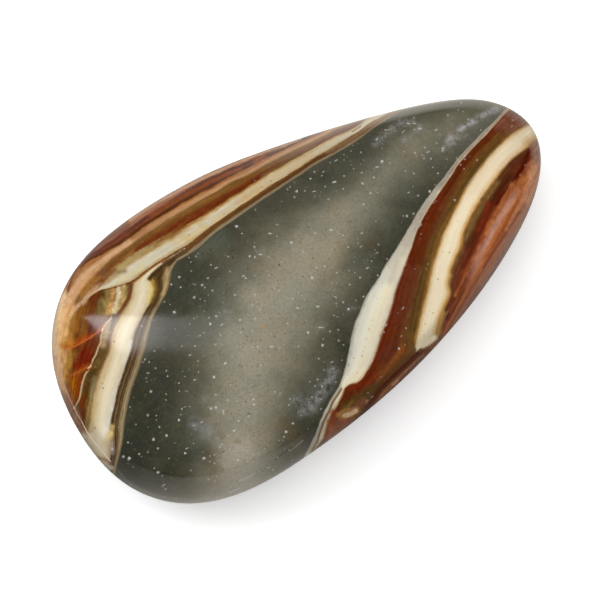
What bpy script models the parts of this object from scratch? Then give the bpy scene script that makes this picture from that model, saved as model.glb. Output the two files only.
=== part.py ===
"""Polished palm stone of polychrome jasper, modelled as one solid.

Frame: +X runs along the long axis to the narrow end, +Z is up through the
thickness, and the origin is at the bottom centre of the bounding box, on the
small worn flat that the stone rests on. All lengths below are in millimetres
and are turned into metres at the end.
"""
import math

import bmesh
import bpy

for _ob in list(bpy.data.objects):
    bpy.data.objects.remove(_ob, do_unlink=True)

# ---- driving dimensions, millimetres -------------------------------------
# Plan outline: corners of a closed convex frame, anticlockwise from the narrow
# end (+X). The edge is the smooth cubic curve that the frame pulls inwards.
OUTLINE = ((38.2, 0.1), (35.4, 6.5), (29.1, 10.0), (22.1, 12.6), (14.8, 15.0), (7.4, 17.0),
           (0.0, 18.8), (-8.0, 19.4), (-16.3, 19.3), (-25.0, 16.6), (-31.1, 9.9), (-33.3, 1.0),
           (-33.1, -8.1), (-28.5, -14.9), (-20.8, -18.1), (-12.0, -18.5), (-3.6, -18.3),
           (4.8, -17.4), (13.0, -15.6), (20.9, -13.1), (28.8, -9.6), (34.8, -5.6))
CORE_LONG = 34.0        # half length of the oval that the crown's middle follows
CORE_WIDE = 19.2        # half width of that oval
THICK = 20.0            # crown height over the flat at the stone's middle
TAPER = 0.16            # crown falls by this share from middle to narrow end
LEAN = 0.04             # and by this share across, towards the ridged flank

# Half section from the crown's middle, round the edge, to the middle of the
# underside. Each row: share of the radius, inset from the edge, height. The
# insets are for an edge 20 mm out and grow with distance by INSET_GROWTH.
SOFT_EDGE = ((0.00, 0.0, 20.1), (0.22, 0.0, 19.9), (0.44, 0.0, 19.3), (0.60, 0.0, 18.6),
             (1.00, 4.6, 16.9), (1.00, 2.6, 15.0), (1.00, 1.1, 13.1), (1.00, 0.25, 10.9),
             (1.00, 0.0, 8.4), (1.00, 0.7, 5.6), (1.00, 2.6, 3.0), (1.00, 5.8, 1.1),
             (0.56, 0.0, 0.0), (0.46, 0.0, 0.0), (0.34, 0.0, 0.0), (0.17, 0.0, 0.0), (0.00, 0.0, 0.0))
RIDGED_EDGE = ((0.00, 0.0, 20.1), (0.22, 0.0, 19.9), (0.44, 0.0, 19.4), (0.60, 0.0, 18.7),
               (1.00, 3.6, 16.9), (1.00, 1.9, 15.9), (1.00, 1.25, 15.4), (1.00, 0.9, 14.7),
               (1.00, 0.0, 11.0), (1.00, 0.3, 7.2), (1.00, 1.9, 3.9), (1.00, 5.2, 1.4),
               (0.56, 0.0, 0.0), (0.46, 0.0, 0.0), (0.34, 0.0, 0.0), (0.17, 0.0, 0.0), (0.00, 0.0, 0.0))
INSET_GROWTH = 0.5
# The crown meets the side in a soft ridge round the blunt end and one flank.
# The ridge is centred in its fade at these bearings, degrees from +X, and
# outside them it dies away into a plain round edge.
RIDGE_FROM, RIDGE_FROM_FADE = 146.0, 44.0
RIDGE_TO, RIDGE_TO_FADE = 334.0, 64.0

SEGMENTS = 110          # points round the stone
# Stations down the half section, counted in rows of the tables above. The
# last one is the rim of the flat.
STATIONS = (0.45, 0.9, 1.4, 1.9, 2.4, 2.9, 3.35, 3.8, 4.2, 4.55, 4.85, 5.1, 5.35, 5.6, 5.85, 6.1,
            6.4, 6.8, 7.3, 7.9, 8.5, 9.1, 9.7, 10.3, 10.9, 11.5, 12.2, 13.0)

JASPER = (0.24, 0.15, 0.085, 1.0)
NAME = "polychrome_jasper"


def outline_at(u):
    """Edge as (radius, bearing) at u, counted in corners of OUTLINE."""
    n = len(OUTLINE)
    i = int(math.floor(u))
    w = cubic(u - i)
    p = [OUTLINE[(i - 1 + k) % n] for k in range(4)]
    x = sum(a * b[0] for a, b in zip(w, p))
    y = sum(a * b[1] for a, b in zip(w, p))
    return math.hypot(x, y), math.atan2(y, x)


def core_at(angle):
    return 1.0 / math.hypot(math.cos(angle) / CORE_LONG, math.sin(angle) / CORE_WIDE)


def cubic(f):
    """Weights of the uniform cubic spline at a fraction f of its span."""
    return ((1 - f)**3 / 6.0, (3 * f**3 - 6 * f**2 + 4) / 6.0,
            (-3 * f**3 + 3 * f**2 + 3 * f + 1) / 6.0, f**3 / 6.0)


def smooth(x):
    x = min(1.0, max(0.0, x))
    return x * x * (3.0 - 2.0 * x)


def ridge_at(angle):
    deg = math.degrees(angle) % 360.0
    if deg < 60.0:
        deg += 360.0
    return (smooth((deg - RIDGE_FROM) / RIDGE_FROM_FADE + 0.5)
            * smooth((RIDGE_TO - deg) / RIDGE_TO_FADE + 0.5))


def section_at(edge, angle):
    """Control points (radius, height) of the half section at a bearing."""
    k, core = ridge_at(angle), core_at(angle)
    grow = 1.0 + INSET_GROWTH * (edge / 20.0 - 1.0)
    pts = []
    for soft, ridged in zip(SOFT_EDGE, RIDGED_EDGE):
        share, inset, height = (s + k * (r - s) for s, r in zip(soft, ridged))
        blend = share * share
        pts.append((share * (core + blend * (edge - core)) - inset * grow, height))
    return pts


def spline_point(pts, t):
    """Point of the uniform cubic spline whose ends mirror across the axis."""
    def ctrl(i):
        if i < 0:
            return (-pts[-i][0], pts[-i][1])
        if i >= len(pts):
            j = 2 * (len(pts) - 1) - i
            return (-pts[j][0], pts[j][1])
        return pts[i]
    i = int(math.floor(t))
    w = cubic(t - i)
    p = [ctrl(i - 1 + k) for k in range(4)]
    return (sum(a * b[0] for a, b in zip(w, p)), sum(a * b[1] for a, b in zip(w, p)))


def stone_point(angle, t, pts):
    rad, z = spline_point(pts, t)
    x, y = rad * math.cos(angle), rad * math.sin(angle)
    return (x, y, z * (1.0 + z / THICK * (LEAN * y / CORE_WIDE - TAPER * x / CORE_LONG)))


mesh = bpy.data.meshes.new(NAME)
bm = bmesh.new()
rings = []
edges = [outline_at(len(OUTLINE) * k / SEGMENTS) for k in range(SEGMENTS)]
sections = [section_at(edge, angle) for edge, angle in edges]
for t in STATIONS:
    ring = []
    for k in range(SEGMENTS):
        x, y, z = stone_point(edges[k][1], t, sections[k])
        if t == STATIONS[-1]:
            z = 0.0
        ring.append(bm.verts.new((x, y, z)))
    rings.append(ring)
crown = bm.verts.new(stone_point(0.0, 0.0, sections[0]))
for k in range(SEGMENTS):
    bm.faces.new((crown, rings[0][k], rings[0][(k + 1) % SEGMENTS]))
for upper, lower in zip(rings[:-1], rings[1:]):
    for k in range(SEGMENTS):
        n = (k + 1) % SEGMENTS
        bm.faces.new((upper[k], lower[k], lower[n], upper[n]))
bm.faces.new(list(reversed(rings[-1])))      # the worn flat

# Bring the box's bottom centre to the origin, and millimetres to metres.
xs = [v.co.x for v in bm.verts]
ys = [v.co.y for v in bm.verts]
cx, cy = 0.5 * (min(xs) + max(xs)), 0.5 * (min(ys) + max(ys))
for v in bm.verts:
    v.co = ((v.co.x - cx) * 0.001, (v.co.y - cy) * 0.001, v.co.z * 0.001)
bmesh.ops.recalc_face_normals(bm, faces=bm.faces)
bm.to_mesh(mesh)
bm.free()
for poly in mesh.polygons:
    poly.use_smooth = True

material = bpy.data.materials.new("polished_jasper")
material.use_nodes = True
shader = material.node_tree.nodes["Principled BSDF"]
shader.inputs["Base Color"].default_value = JASPER
shader.inputs["Roughness"].default_value = 0.08
shader.inputs["IOR"].default_value = 1.54
material.diffuse_color = JASPER
mesh.materials.append(material)

stone = bpy.data.objects.new(NAME, mesh)
bpy.context.scene.collection.objects.link(stone)
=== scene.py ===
import math
import bpy
import numpy as np
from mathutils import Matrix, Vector


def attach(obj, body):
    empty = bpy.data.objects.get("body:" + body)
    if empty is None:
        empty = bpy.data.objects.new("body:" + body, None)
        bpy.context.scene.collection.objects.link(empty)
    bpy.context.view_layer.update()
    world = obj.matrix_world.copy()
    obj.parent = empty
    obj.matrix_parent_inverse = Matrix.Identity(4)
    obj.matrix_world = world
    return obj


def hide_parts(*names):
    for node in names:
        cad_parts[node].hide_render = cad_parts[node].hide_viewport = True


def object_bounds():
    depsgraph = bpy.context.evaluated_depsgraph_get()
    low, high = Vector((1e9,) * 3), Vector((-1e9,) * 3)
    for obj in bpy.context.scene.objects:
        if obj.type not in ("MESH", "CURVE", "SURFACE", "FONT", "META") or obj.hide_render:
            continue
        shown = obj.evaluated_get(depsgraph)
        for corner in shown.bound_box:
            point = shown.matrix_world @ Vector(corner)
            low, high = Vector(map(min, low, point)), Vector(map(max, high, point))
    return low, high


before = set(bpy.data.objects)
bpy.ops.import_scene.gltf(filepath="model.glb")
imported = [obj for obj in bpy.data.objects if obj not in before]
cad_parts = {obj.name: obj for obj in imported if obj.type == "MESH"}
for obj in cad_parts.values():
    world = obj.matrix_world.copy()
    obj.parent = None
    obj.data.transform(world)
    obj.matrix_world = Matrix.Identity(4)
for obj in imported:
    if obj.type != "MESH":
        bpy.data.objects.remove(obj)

cad_lo, cad_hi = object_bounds()
scene = bpy.context.scene

# ---------------------------------------------------------------------------
# The stone's surface, the same one that part.py builds, in millimetres.
# ---------------------------------------------------------------------------
OUTLINE = ((38.2, 0.1), (35.4, 6.5), (29.1, 10.0), (22.1, 12.6), (14.8, 15.0), (7.4, 17.0),
           (0.0, 18.8), (-8.0, 19.4), (-16.3, 19.3), (-25.0, 16.6), (-31.1, 9.9), (-33.3, 1.0),
           (-33.1, -8.1), (-28.5, -14.9), (-20.8, -18.1), (-12.0, -18.5), (-3.6, -18.3),
           (4.8, -17.4), (13.0, -15.6), (20.9, -13.1), (28.8, -9.6), (34.8, -5.6))
CORE_LONG, CORE_WIDE = 34.0, 19.2
THICK, TAPER, LEAN = 20.0, 0.16, 0.04
SOFT_EDGE = ((0.00, 0.0, 20.1), (0.22, 0.0, 19.9), (0.44, 0.0, 19.3), (0.60, 0.0, 18.6),
             (1.00, 4.6, 16.9), (1.00, 2.6, 15.0), (1.00, 1.1, 13.1), (1.00, 0.25, 10.9),
             (1.00, 0.0, 8.4), (1.00, 0.7, 5.6), (1.00, 2.6, 3.0), (1.00, 5.8, 1.1),
             (0.56, 0.0, 0.0), (0.46, 0.0, 0.0), (0.34, 0.0, 0.0), (0.17, 0.0, 0.0), (0.00, 0.0, 0.0))
RIDGED_EDGE = ((0.00, 0.0, 20.1), (0.22, 0.0, 19.9), (0.44, 0.0, 19.4), (0.60, 0.0, 18.7),
               (1.00, 3.6, 16.9), (1.00, 1.9, 15.9), (1.00, 1.25, 15.4), (1.00, 0.9, 14.7),
               (1.00, 0.0, 11.0), (1.00, 0.3, 7.2), (1.00, 1.9, 3.9), (1.00, 5.2, 1.4),
               (0.56, 0.0, 0.0), (0.46, 0.0, 0.0), (0.34, 0.0, 0.0), (0.17, 0.0, 0.0), (0.00, 0.0, 0.0))
INSET_GROWTH = 0.5
RIDGE_FROM, RIDGE_FROM_FADE = 146.0, 44.0
RIDGE_TO, RIDGE_TO_FADE = 334.0, 64.0
CENTRE = (2.0720, 0.4797)
TOP_RINGS, LOW_RINGS = 158, 56
GIRTH_T = 8.3
SPACING = 0.205            # mm between neighbours on a ring
MOST_IN_RING = 830


def cubic(f):
    return ((1 - f)**3 / 6.0, (3 * f**3 - 6 * f**2 + 4) / 6.0,
            (-3 * f**3 + 3 * f**2 + 3 * f + 1) / 6.0, f**3 / 6.0)


def smooth(x):
    x = np.clip(x, 0.0, 1.0)
    return x * x * (3.0 - 2.0 * x)


def ring_points(t, n):
    """n points of the ring at section parameter t, in the CAD frame, in millimetres."""
    u = np.arange(n) * (len(OUTLINE) / n)
    i = np.floor(u).astype(int)
    w = cubic(u - i)
    frame_pts = np.array(OUTLINE)
    x = sum(w[k] * frame_pts[(i - 1 + k) % len(OUTLINE), 0] for k in range(4))
    y = sum(w[k] * frame_pts[(i - 1 + k) % len(OUTLINE), 1] for k in range(4))
    edge, ang = np.hypot(x, y), np.arctan2(y, x)
    deg = np.degrees(ang) % 360.0
    deg = np.where(deg < 60.0, deg + 360.0, deg)
    ridge = (smooth((deg - RIDGE_FROM) / RIDGE_FROM_FADE + 0.5)
             * smooth((RIDGE_TO - deg) / RIDGE_TO_FADE + 0.5))
    core = 1.0 / np.hypot(np.cos(ang) / CORE_LONG, np.sin(ang) / CORE_WIDE)
    grow = 1.0 + INSET_GROWTH * (edge / 20.0 - 1.0)

    def row(j):
        mirror = 1.0
        if j < 0:
            j, mirror = -j, -1.0
        elif j >= len(SOFT_EDGE):
            j, mirror = 2 * (len(SOFT_EDGE) - 1) - j, -1.0
        share, inset, height = (s + ridge * (r - s) for s, r in zip(SOFT_EDGE[j], RIDGED_EDGE[j]))
        rad = share * (core + share * share * (edge - core)) - inset * grow
        return mirror * rad, height
    j = int(math.floor(t))
    w = cubic(t - j)
    rows = [row(j - 1 + k) for k in range(4)]
    rad = sum(a * r[0] for a, r in zip(w, rows))
    z = sum(a * r[1] for a, r in zip(w, rows))
    px, py = rad * np.cos(ang), rad * np.sin(ang)
    z = z * (1.0 + z / THICK * (LEAN * py / CORE_WIDE - TAPER * px / CORE_LONG))
    return np.stack([px - CENTRE[0], py - CENTRE[1], np.maximum(z, 0.0) + 0.0 * px], 1)


# Rings evenly spaced along the section, from the crown to the middle of the flat.
fine_t = np.linspace(0.0, 16.0, 641)
probe = np.array([ring_points(t, 44) for t in fine_t])
step = np.linalg.norm(np.diff(probe, axis=0), axis=2).mean(1)
travel = np.concatenate([[0.0], np.cumsum(step)])
girth = float(np.interp(GIRTH_T, fine_t, travel))
total = travel[-1]
along = np.concatenate([np.linspace(0.0, girth, TOP_RINGS + 1)[1:],
                        np.linspace(girth, total, LOW_RINGS + 2)[1:-1]])
stations = np.interp(along, travel, fine_t)

ring_start, ring_count, pts, reach, turn = [], [], [], [], []
count = 0
for k, t in enumerate(stations):
    rough = ring_points(t, 88)
    length = np.linalg.norm(np.roll(rough, -1, 0) - rough, axis=1).sum()
    pitch = SPACING if k < TOP_RINGS else SPACING * 1.0 + 0.12 * min(1.0, (k - TOP_RINGS) / 18.0)
    n = int(np.clip(length / pitch, 16, MOST_IN_RING))
    ring = ring_points(t, n)
    ring_start.append(count)
    ring_count.append(n)
    pts.append(ring)
    reach.append(np.full(n, along[k]))
    count += n
crown = ring_points(0.0, 4)[:1]
foot = ring_points(16.0, 4)[:1]
pts += [crown, foot]
reach += [np.array([0.0]), np.array([total])]
crown_id, foot_id = count, count + 1
pts = np.concatenate(pts)
reach = np.concatenate(reach)

tris, under = [], []
for k in range(len(stations) - 1):
    n, m = ring_count[k], ring_count[k + 1]
    a0, b0 = ring_start[k], ring_start[k + 1]
    where = np.concatenate([(np.arange(n) + 1) / n, (np.arange(m) + 1) / m - 1e-9])
    kind = np.concatenate([np.zeros(n, int), np.ones(m, int)])
    order = np.argsort(where, kind="stable")
    kind = kind[order]
    ia = np.cumsum(kind == 0) - (kind == 0)
    ib = np.cumsum(kind == 1) - (kind == 1)
    third = np.where(kind == 0, a0 + (ia + 1) % n, b0 + (ib + 1) % m)
    tris.append(np.stack([a0 + ia % n, b0 + ib % m, third], 1))
    under.append(np.full(n + m, k >= TOP_RINGS - 1))
n = ring_count[0]
i = np.arange(n)
tris.append(np.stack([np.full(n, crown_id), ring_start[0] + i, ring_start[0] + (i + 1) % n], 1))
under.append(np.zeros(n, bool))
n = ring_count[-1]
i = np.arange(n)
tris.append(np.stack([np.full(n, foot_id), ring_start[-1] + (i + 1) % n, ring_start[-1] + i], 1))
under.append(np.ones(n, bool))
tris = np.concatenate(tris)
under = np.concatenate(under)

# The finer surface fits the CAD box exactly.
lo, hi = pts.min(0), pts.max(0)
box_lo, box_hi = np.array(cad_lo) * 1000.0, np.array(cad_hi) * 1000.0
fit = (box_hi - box_lo) / (hi - lo)
pts = (pts - lo) * np.minimum(fit, 1.0) + np.maximum(lo, box_lo)
pts = np.minimum(np.maximum(pts, box_lo), box_hi)

a, b, c = pts[tris[:, 0]], pts[tris[:, 1]], pts[tris[:, 2]]
cross = np.cross(b - a, c - a)
mid = (a + b + c) / 3.0 - np.array([0.0, 0.0, 9.0])
inward = (cross * mid).sum(1) < 0
tris[inward] = tris[inward][:, ::-1]
normal = np.zeros_like(pts)
face = np.cross(pts[tris[:, 1]] - pts[tris[:, 0]], pts[tris[:, 2]] - pts[tris[:, 0]])
for k in range(3):
    np.add.at(normal, tris[:, k], face)
normal /= np.linalg.norm(normal, axis=1)[:, None]

# ---------------------------------------------------------------------------
# Camera, and the drawing plane that the markings are laid out on.
# ---------------------------------------------------------------------------
AZ, EL, AWAY, LENS = math.radians(-36.0), math.radians(70.0), 340.0, 163.2
right = np.array([math.cos(AZ), math.sin(AZ), 0.0])
ahead = np.array([-math.sin(AZ) * math.cos(EL), math.cos(AZ) * math.cos(EL), -math.sin(EL)])
above = np.cross(right, ahead)
look_at = np.array([1.9525 - CENTRE[0], 0.1358 - CENTRE[1], 8.0]) - 1.19 * right - 2.33 * above
eye = look_at - AWAY * ahead
SCALE = 600.0 * LENS / 36.0


def drawing(p):
    """Drawing-plane coordinates (across, down), 600 units to the plate's width."""
    d = p - eye
    z = d @ ahead
    return np.stack([300.0 + SCALE * (d @ right) / z, 300.0 - SCALE * (d @ above) / z], 1)


cam_data = bpy.data.cameras.new("camera")
cam = bpy.data.objects.new("camera", cam_data)
scene.collection.objects.link(cam)
cam_data.lens, cam_data.sensor_width = LENS, 36.0
cam_data.clip_start, cam_data.clip_end = 0.01, 20.0
cam.location = Vector(eye * 0.001)
cam.rotation_mode = "QUATERNION"
cam.rotation_quaternion = Vector(ahead).to_track_quat("-Z", "Y")
scene.camera = cam

flat = drawing(pts)
view_dir = (eye - pts) / np.linalg.norm(eye - pts, axis=1)[:, None]
facing = (normal * view_dir).sum(1)


def hash01(ix, iy, iz, seed):
    h = np.sin(ix * 127.1 + iy * 311.7 + iz * 74.7 + seed * 53.3) * 43758.5453
    return h - np.floor(h)


def lump(p, size, seed):
    """Smooth value noise in space, -1 to 1, with lumps of that size in millimetres."""
    q = p / size
    i = np.floor(q)
    f = q - i
    f = f * f * (3.0 - 2.0 * f)
    out = 0.0
    for dx in (0, 1):
        for dy in (0, 1):
            for dz in (0, 1):
                w = ((f[:, 0] if dx else 1 - f[:, 0]) * (f[:, 1] if dy else 1 - f[:, 1])
                     * (f[:, 2] if dz else 1 - f[:, 2]))
                out = out + w * hash01(i[:, 0] + dx, i[:, 1] + dy, i[:, 2] + dz, seed)
    return out * 2.0 - 1.0


# The layers run down through the stone. Below the brow they bend and wander.
drift = smooth((0.10 - facing) / 0.9)
flat[:, 0] += drift * (26.0 * lump(pts, 13.0, 1) + 8.0 * lump(pts, 5.0, 2))
flat[:, 1] += drift * (26.0 * lump(pts, 13.0, 3) + 8.0 * lump(pts, 5.0, 4))

# ---------------------------------------------------------------------------
# Layer boundaries, each drawn so that what comes next lies on its right.
# ---------------------------------------------------------------------------
RIM = ((30, 420), (40, 380), (44, 350), (48, 315), (57, 290), (74, 262), (98, 238), (121, 220), (140, 208),
       (160, 194), (180, 182), (200, 172), (220, 163), (240, 155), (300, 131), (340, 115), (400, 95), (480, 60))
U1 = ((46, 420), (51, 380), (54, 350), (58, 320), (64, 298), (71, 281), (81, 264), (92, 252), (97, 250),
      (102, 246.5), (107.5, 242.5), (113, 239), (118, 234.5), (123.5, 230.5), (129, 227), (140, 219.5),
      (150, 213), (160, 206.5), (170, 200), (180, 193.5), (190, 186.5), (200, 181), (210, 176.5),
      (220, 172), (230, 168), (240, 164.5), (262, 153), (300, 136), (340, 118), (400, 97), (480, 63))
U2 = ((49, 420), (53.5, 380), (56, 350), (60, 320), (65.5, 299), (71, 280), (75, 270), (79, 267.5), (83, 265), (87, 262.5), (91.5, 260),
      (96, 257.5), (100, 255.5), (105.5, 252), (111, 249.5), (117, 246.5), (123.5, 242.5), (130, 238.5),
      (140, 230), (150, 223), (160, 217), (170, 211), (180, 205), (190, 199), (200, 193.5), (210, 188.5),
      (220, 182.5), (230, 177), (240, 172), (250, 167), (260, 161.5), (270, 156.5), (280, 151.5),
      (290, 146.5), (300, 142), (310, 137.5), (320, 133.5), (340, 122), (400, 99), (480, 66))
U3 = ((56, 420), (60, 385), (61, 365), (62.5, 348), (66, 330), (71, 312), (77, 299), (84, 287.5), (87, 284), (89.5, 281.5), (92, 278.5),
      (95.5, 274), (99.5, 270.5), (103.5, 267), (107.5, 262.5), (111.5, 259), (117, 255), (123.5, 250.5),
      (130, 246), (140, 237.5), (150, 231.5), (160, 225), (170, 218.5), (180, 212.5), (190, 206.5),
      (200, 200.5), (210, 195), (220, 189.5), (230, 183), (240, 179), (250, 174.5), (260, 168.5),
      (270, 163), (280, 157.5), (290, 152.5), (300, 147.5), (310, 143), (320, 138), (340, 127), (400, 101), (480, 69))
U4 = ((60, 420), (64, 385), (65, 365), (66, 348), (69, 334), (74, 318), (80, 303), (87, 292), (92, 286), (96.5, 282.5), (99, 280.5),
      (101, 276), (104.5, 271), (109.5, 266.5), (115.5, 262.5), (122, 259), (130, 254), (140, 244),
      (150, 238), (160, 231.5), (170, 225.5), (180, 219.5), (190, 214), (200, 208.5), (210, 203),
      (220, 197), (230, 191), (240, 185.5), (250, 179.5), (260, 173.5), (270, 168), (280, 162),
      (290, 157), (300, 151.5), (310, 146.5), (320, 141), (340, 130), (400, 103), (480, 71))
U5 = ((63, 420), (66.5, 385), (67.5, 348), (71, 340), (75, 328), (78, 318), (81, 308), (86, 299), (93.5, 289.5), (97, 288.5), (99.5, 287), (102.5, 284.5), (105.5, 282),
      (107.5, 279), (109.5, 276), (112, 273), (113.5, 271), (117, 266.5), (121.5, 263), (125.5, 259.5),
      (130, 257), (140, 252), (150, 247.5), (160, 241), (170, 236.5), (180, 229.5), (190, 223),
      (200, 217.5), (210, 211), (220, 204.5), (230, 198), (240, 192), (250, 185.5), (260, 179),
      (270, 172), (280, 166.5), (290, 161), (300, 155.5), (310, 150), (320, 144), (330, 138.5),
      (340, 134), (350, 130), (360, 124), (366, 118.5), (400, 105), (480, 74))
U6 = ((63, 420), (66.5, 385), (67.5, 348), (71, 340), (75, 328), (78, 318), (81, 308), (86.5, 299), (90.5, 296.5), (93.5, 294),
      (97, 292), (99.5, 290.5), (103.5, 289.5), (109.5, 288.5), (115.5, 286.5), (121, 285.5), (127, 283.5),
      (131, 282), (140, 275.5), (150, 267.5), (156, 263.5), (160, 261), (170, 255), (180, 249),
      (190, 243), (200, 234.8), (210, 227.2), (220, 220.1), (230, 213.3), (240, 205.7), (250, 199.5), (260, 193),
      (270, 186), (280, 180), (290, 173.5), (300, 167.2), (310, 160.5), (320, 154.5), (330, 149),
      (340, 143), (350, 136.5), (360, 131), (370, 122.5), (380, 118), (388, 113), (420, 99), (490, 72))
U8 = ((64.5, 420), (68, 385), (69, 348), (72.5, 340), (76, 328), (79, 318), (82, 309), (87.5, 300.5), (97, 294), (110, 290.5),
      (128, 286), (141, 278), (151, 270), (161, 267), (172, 262), (180, 258), (190, 249.3), (200, 241.8), (210, 233.4), (220, 225.6), (230, 219), (240, 211.8),
      (250, 205.5), (260, 198.5), (270, 192), (280, 185.5), (290, 178.5), (300, 172.3), (310, 165),
      (320, 159), (330, 154), (340, 149), (350, 142), (360, 136), (370, 128), (380, 121.5), (390, 115.5),
      (400, 110.5), (425, 100), (490, 76))
U9 = ((105, 540), (112, 490), (116.5, 468), (118.5, 460), (121, 450), (123, 440), (124, 430), (125, 420), (127, 410), (129, 400),
      (131.5, 390), (135, 380), (139, 370), (142, 360), (145, 350), (147.5, 340), (150, 330), (152, 320),
      (157, 310), (163, 300), (168, 290), (170.5, 280), (172, 270), (177, 261), (180, 260), (190, 254),
      (200, 247.5), (210, 237.6), (220, 229.4), (230, 223), (240, 215.6), (250, 208.5), (260, 201.5),
      (270, 195), (280, 188.5), (290, 181.5), (300, 175.6), (310, 168), (320, 162), (330, 157),
      (340, 151), (350, 145.5), (360, 139), (370, 131), (380, 124), (390, 118), (400, 111.5), (405, 109),
      (430, 101), (490, 80))
# Where the upper-left layers are cut off by the lower-left ones.
PART = ((38, 620), (45, 560), (54.5, 480), (59.5, 440), (63.3, 410), (66, 385), (67, 348), (70, 340), (74, 328), (77, 318), (80, 308), (86.5, 299), (90.5, 296.5),
        (93.5, 294), (97, 292), (99.5, 290.5), (103.5, 289.5), (109.5, 288.5), (115.5, 286.5),
        (121, 285.5), (127, 283.5), (131, 282), (140, 275.5), (150, 267.5), (156, 263.5), (160, 261),
        (170, 255), (180, 249), (185, 247.5), (187, 251), (189, 257), (196, 266), (230, 300), (330, 400))
W3 = ((68, 540), (70, 440), (72, 420), (74, 409), (76, 405), (79, 400), (80, 396), (81, 390), (82, 384), (83.7, 378.7), (85, 374.7),
      (87.7, 371.3), (90.3, 367.3), (91.7, 363.3), (93, 359.3), (95.7, 355.3), (97, 351.3), (98.3, 347.3),
      (100.3, 343.3), (101, 339.3), (101, 335.3), (102.3, 330.7), (104.3, 326), (106.3, 322.7),
      (109.7, 320), (111.7, 317), (111, 311), (106, 304), (102, 298), (100, 293), (106, 290.5), (118, 287.5),
      (131, 282.6), (140, 276.2), (150, 268.3), (160, 261.7), (170, 255.7), (180, 249.6), (200, 237), (240, 207))
W4 = ((80, 540), (83, 460), (87, 434), (88.5, 430), (91, 420), (92, 410), (93.5, 400), (94.5, 390), (98.5, 380), (101.5, 370),
      (106, 360), (109.5, 350), (111, 340), (113.5, 330), (118, 320), (123.5, 310), (129.5, 300),
      (130, 295), (131, 290), (132, 283.5), (140, 277), (150, 269), (160, 262.4), (170, 256.4), (180, 250.2),
      (200, 237.6), (240, 207.6))
W5 = ((103, 540), (108, 470), (112, 450), (110, 435), (109.5, 427), (110.5, 420), (113, 410), (115, 400), (117, 390), (120.5, 380),
      (124, 370), (127, 360), (131, 350), (133, 340), (136, 330), (140.5, 320), (146.5, 310),
      (151.5, 300), (154.5, 290), (151, 282), (146, 279.5), (152, 272.3), (160, 265.3), (170, 258.8),
      (180, 252.2), (187, 247.6), (200, 238.4), (240, 208.3))
R0 = ((240, 560), (285, 500), (296, 475), (304.5, 456), (307, 451), (310, 446), (312.5, 440), (315, 435), (317, 430), (319, 424),
      (321.5, 418), (324.5, 411), (328, 404.5), (331.5, 398.5), (335, 393), (338, 388), (340.5, 383),
      (342, 378), (344, 371.5), (346, 364.5), (347.5, 356.5), (349.3, 348), (350, 344), (351, 337),
      (353, 329), (355, 322), (358.5, 315), (361, 308.5), (364, 301), (367, 295), (371, 288.5),
      (375.5, 282.5), (380, 276), (382.5, 270.5), (385.5, 264.5), (389.5, 259), (394.5, 251.5),
      (399, 244.5), (403, 238), (407, 231), (410, 226), (413.5, 220), (416.5, 214), (420.5, 208),
      (424, 202), (428, 197), (432, 191.5), (436.5, 185.5), (441, 181), (447, 173), (452.5, 165.5),
      (456.5, 160), (462, 154), (466.5, 149), (472, 143.5), (477, 138.5), (483, 131.5), (490, 125.5),
      (497, 118.5), (503, 111.5), (510, 104), (540, 75))
R1 = ((250, 560), (292, 495), (301, 470), (309, 453.5), (314, 448.5), (318.5, 444), (321.5, 440.5), (324.5, 436), (325.5, 431), (326.7, 426),
      (328.7, 420), (330.7, 415.3), (333.3, 410.7), (336.7, 406), (339.3, 400.7), (342, 395.3),
      (343.3, 390.7), (344.7, 388), (348, 385.3), (352, 383.7), (356, 383.3), (359.3, 381.3),
      (362.7, 378), (366, 373.5), (369.3, 368), (372, 362), (374.7, 355.5), (377.3, 348), (379.5, 340),
      (381.7, 332.5), (383.5, 326.5), (386, 321.5), (389, 315), (390.5, 307.5), (393.3, 299.5),
      (394.5, 292), (396.5, 286), (399.5, 278.5), (402, 272), (403.5, 266), (406, 262), (408, 256.5),
      (411, 248.5), (412.5, 243), (414.5, 237), (416.5, 231), (419.5, 226), (422, 219.5), (425.5, 213.5),
      (428.5, 208), (432.5, 202), (436.5, 197), (439.5, 192), (443, 187), (446, 182.5), (450, 177),
      (453.5, 171.5), (456.5, 166), (460, 162), (463.5, 158), (468.5, 152.5), (473.5, 147),
      (480, 140.5), (486.5, 134.5), (490, 130), (496.5, 122.5), (502, 116.5), (512, 106), (545, 76))
R3 = ((270, 640), (312, 540), (338, 470), (358, 424), (367, 408), (373.5, 398.5), (380, 389), (390, 379), (400, 370), (410, 361), (416.5, 351.5), (415.3, 344), (415.3, 340), (416.5, 333),
      (418.5, 324), (420, 317), (422, 309), (423.7, 301), (426, 292), (428, 284), (429.5, 276), (431, 268),
      (433.5, 260), (436, 253), (438.5, 246), (440.5, 239), (443, 232.5), (447, 225), (450.5, 217),
      (453.5, 211), (456.5, 205), (459, 200), (462, 194), (466.5, 186), (471, 179.5), (476, 172.7),
      (482, 164.7), (488, 156.7), (493.3, 151), (500, 144), (506.7, 137.5), (513.5, 132.7), (520, 128.5),
      (527, 124.7), (540, 116), (575, 90))
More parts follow.
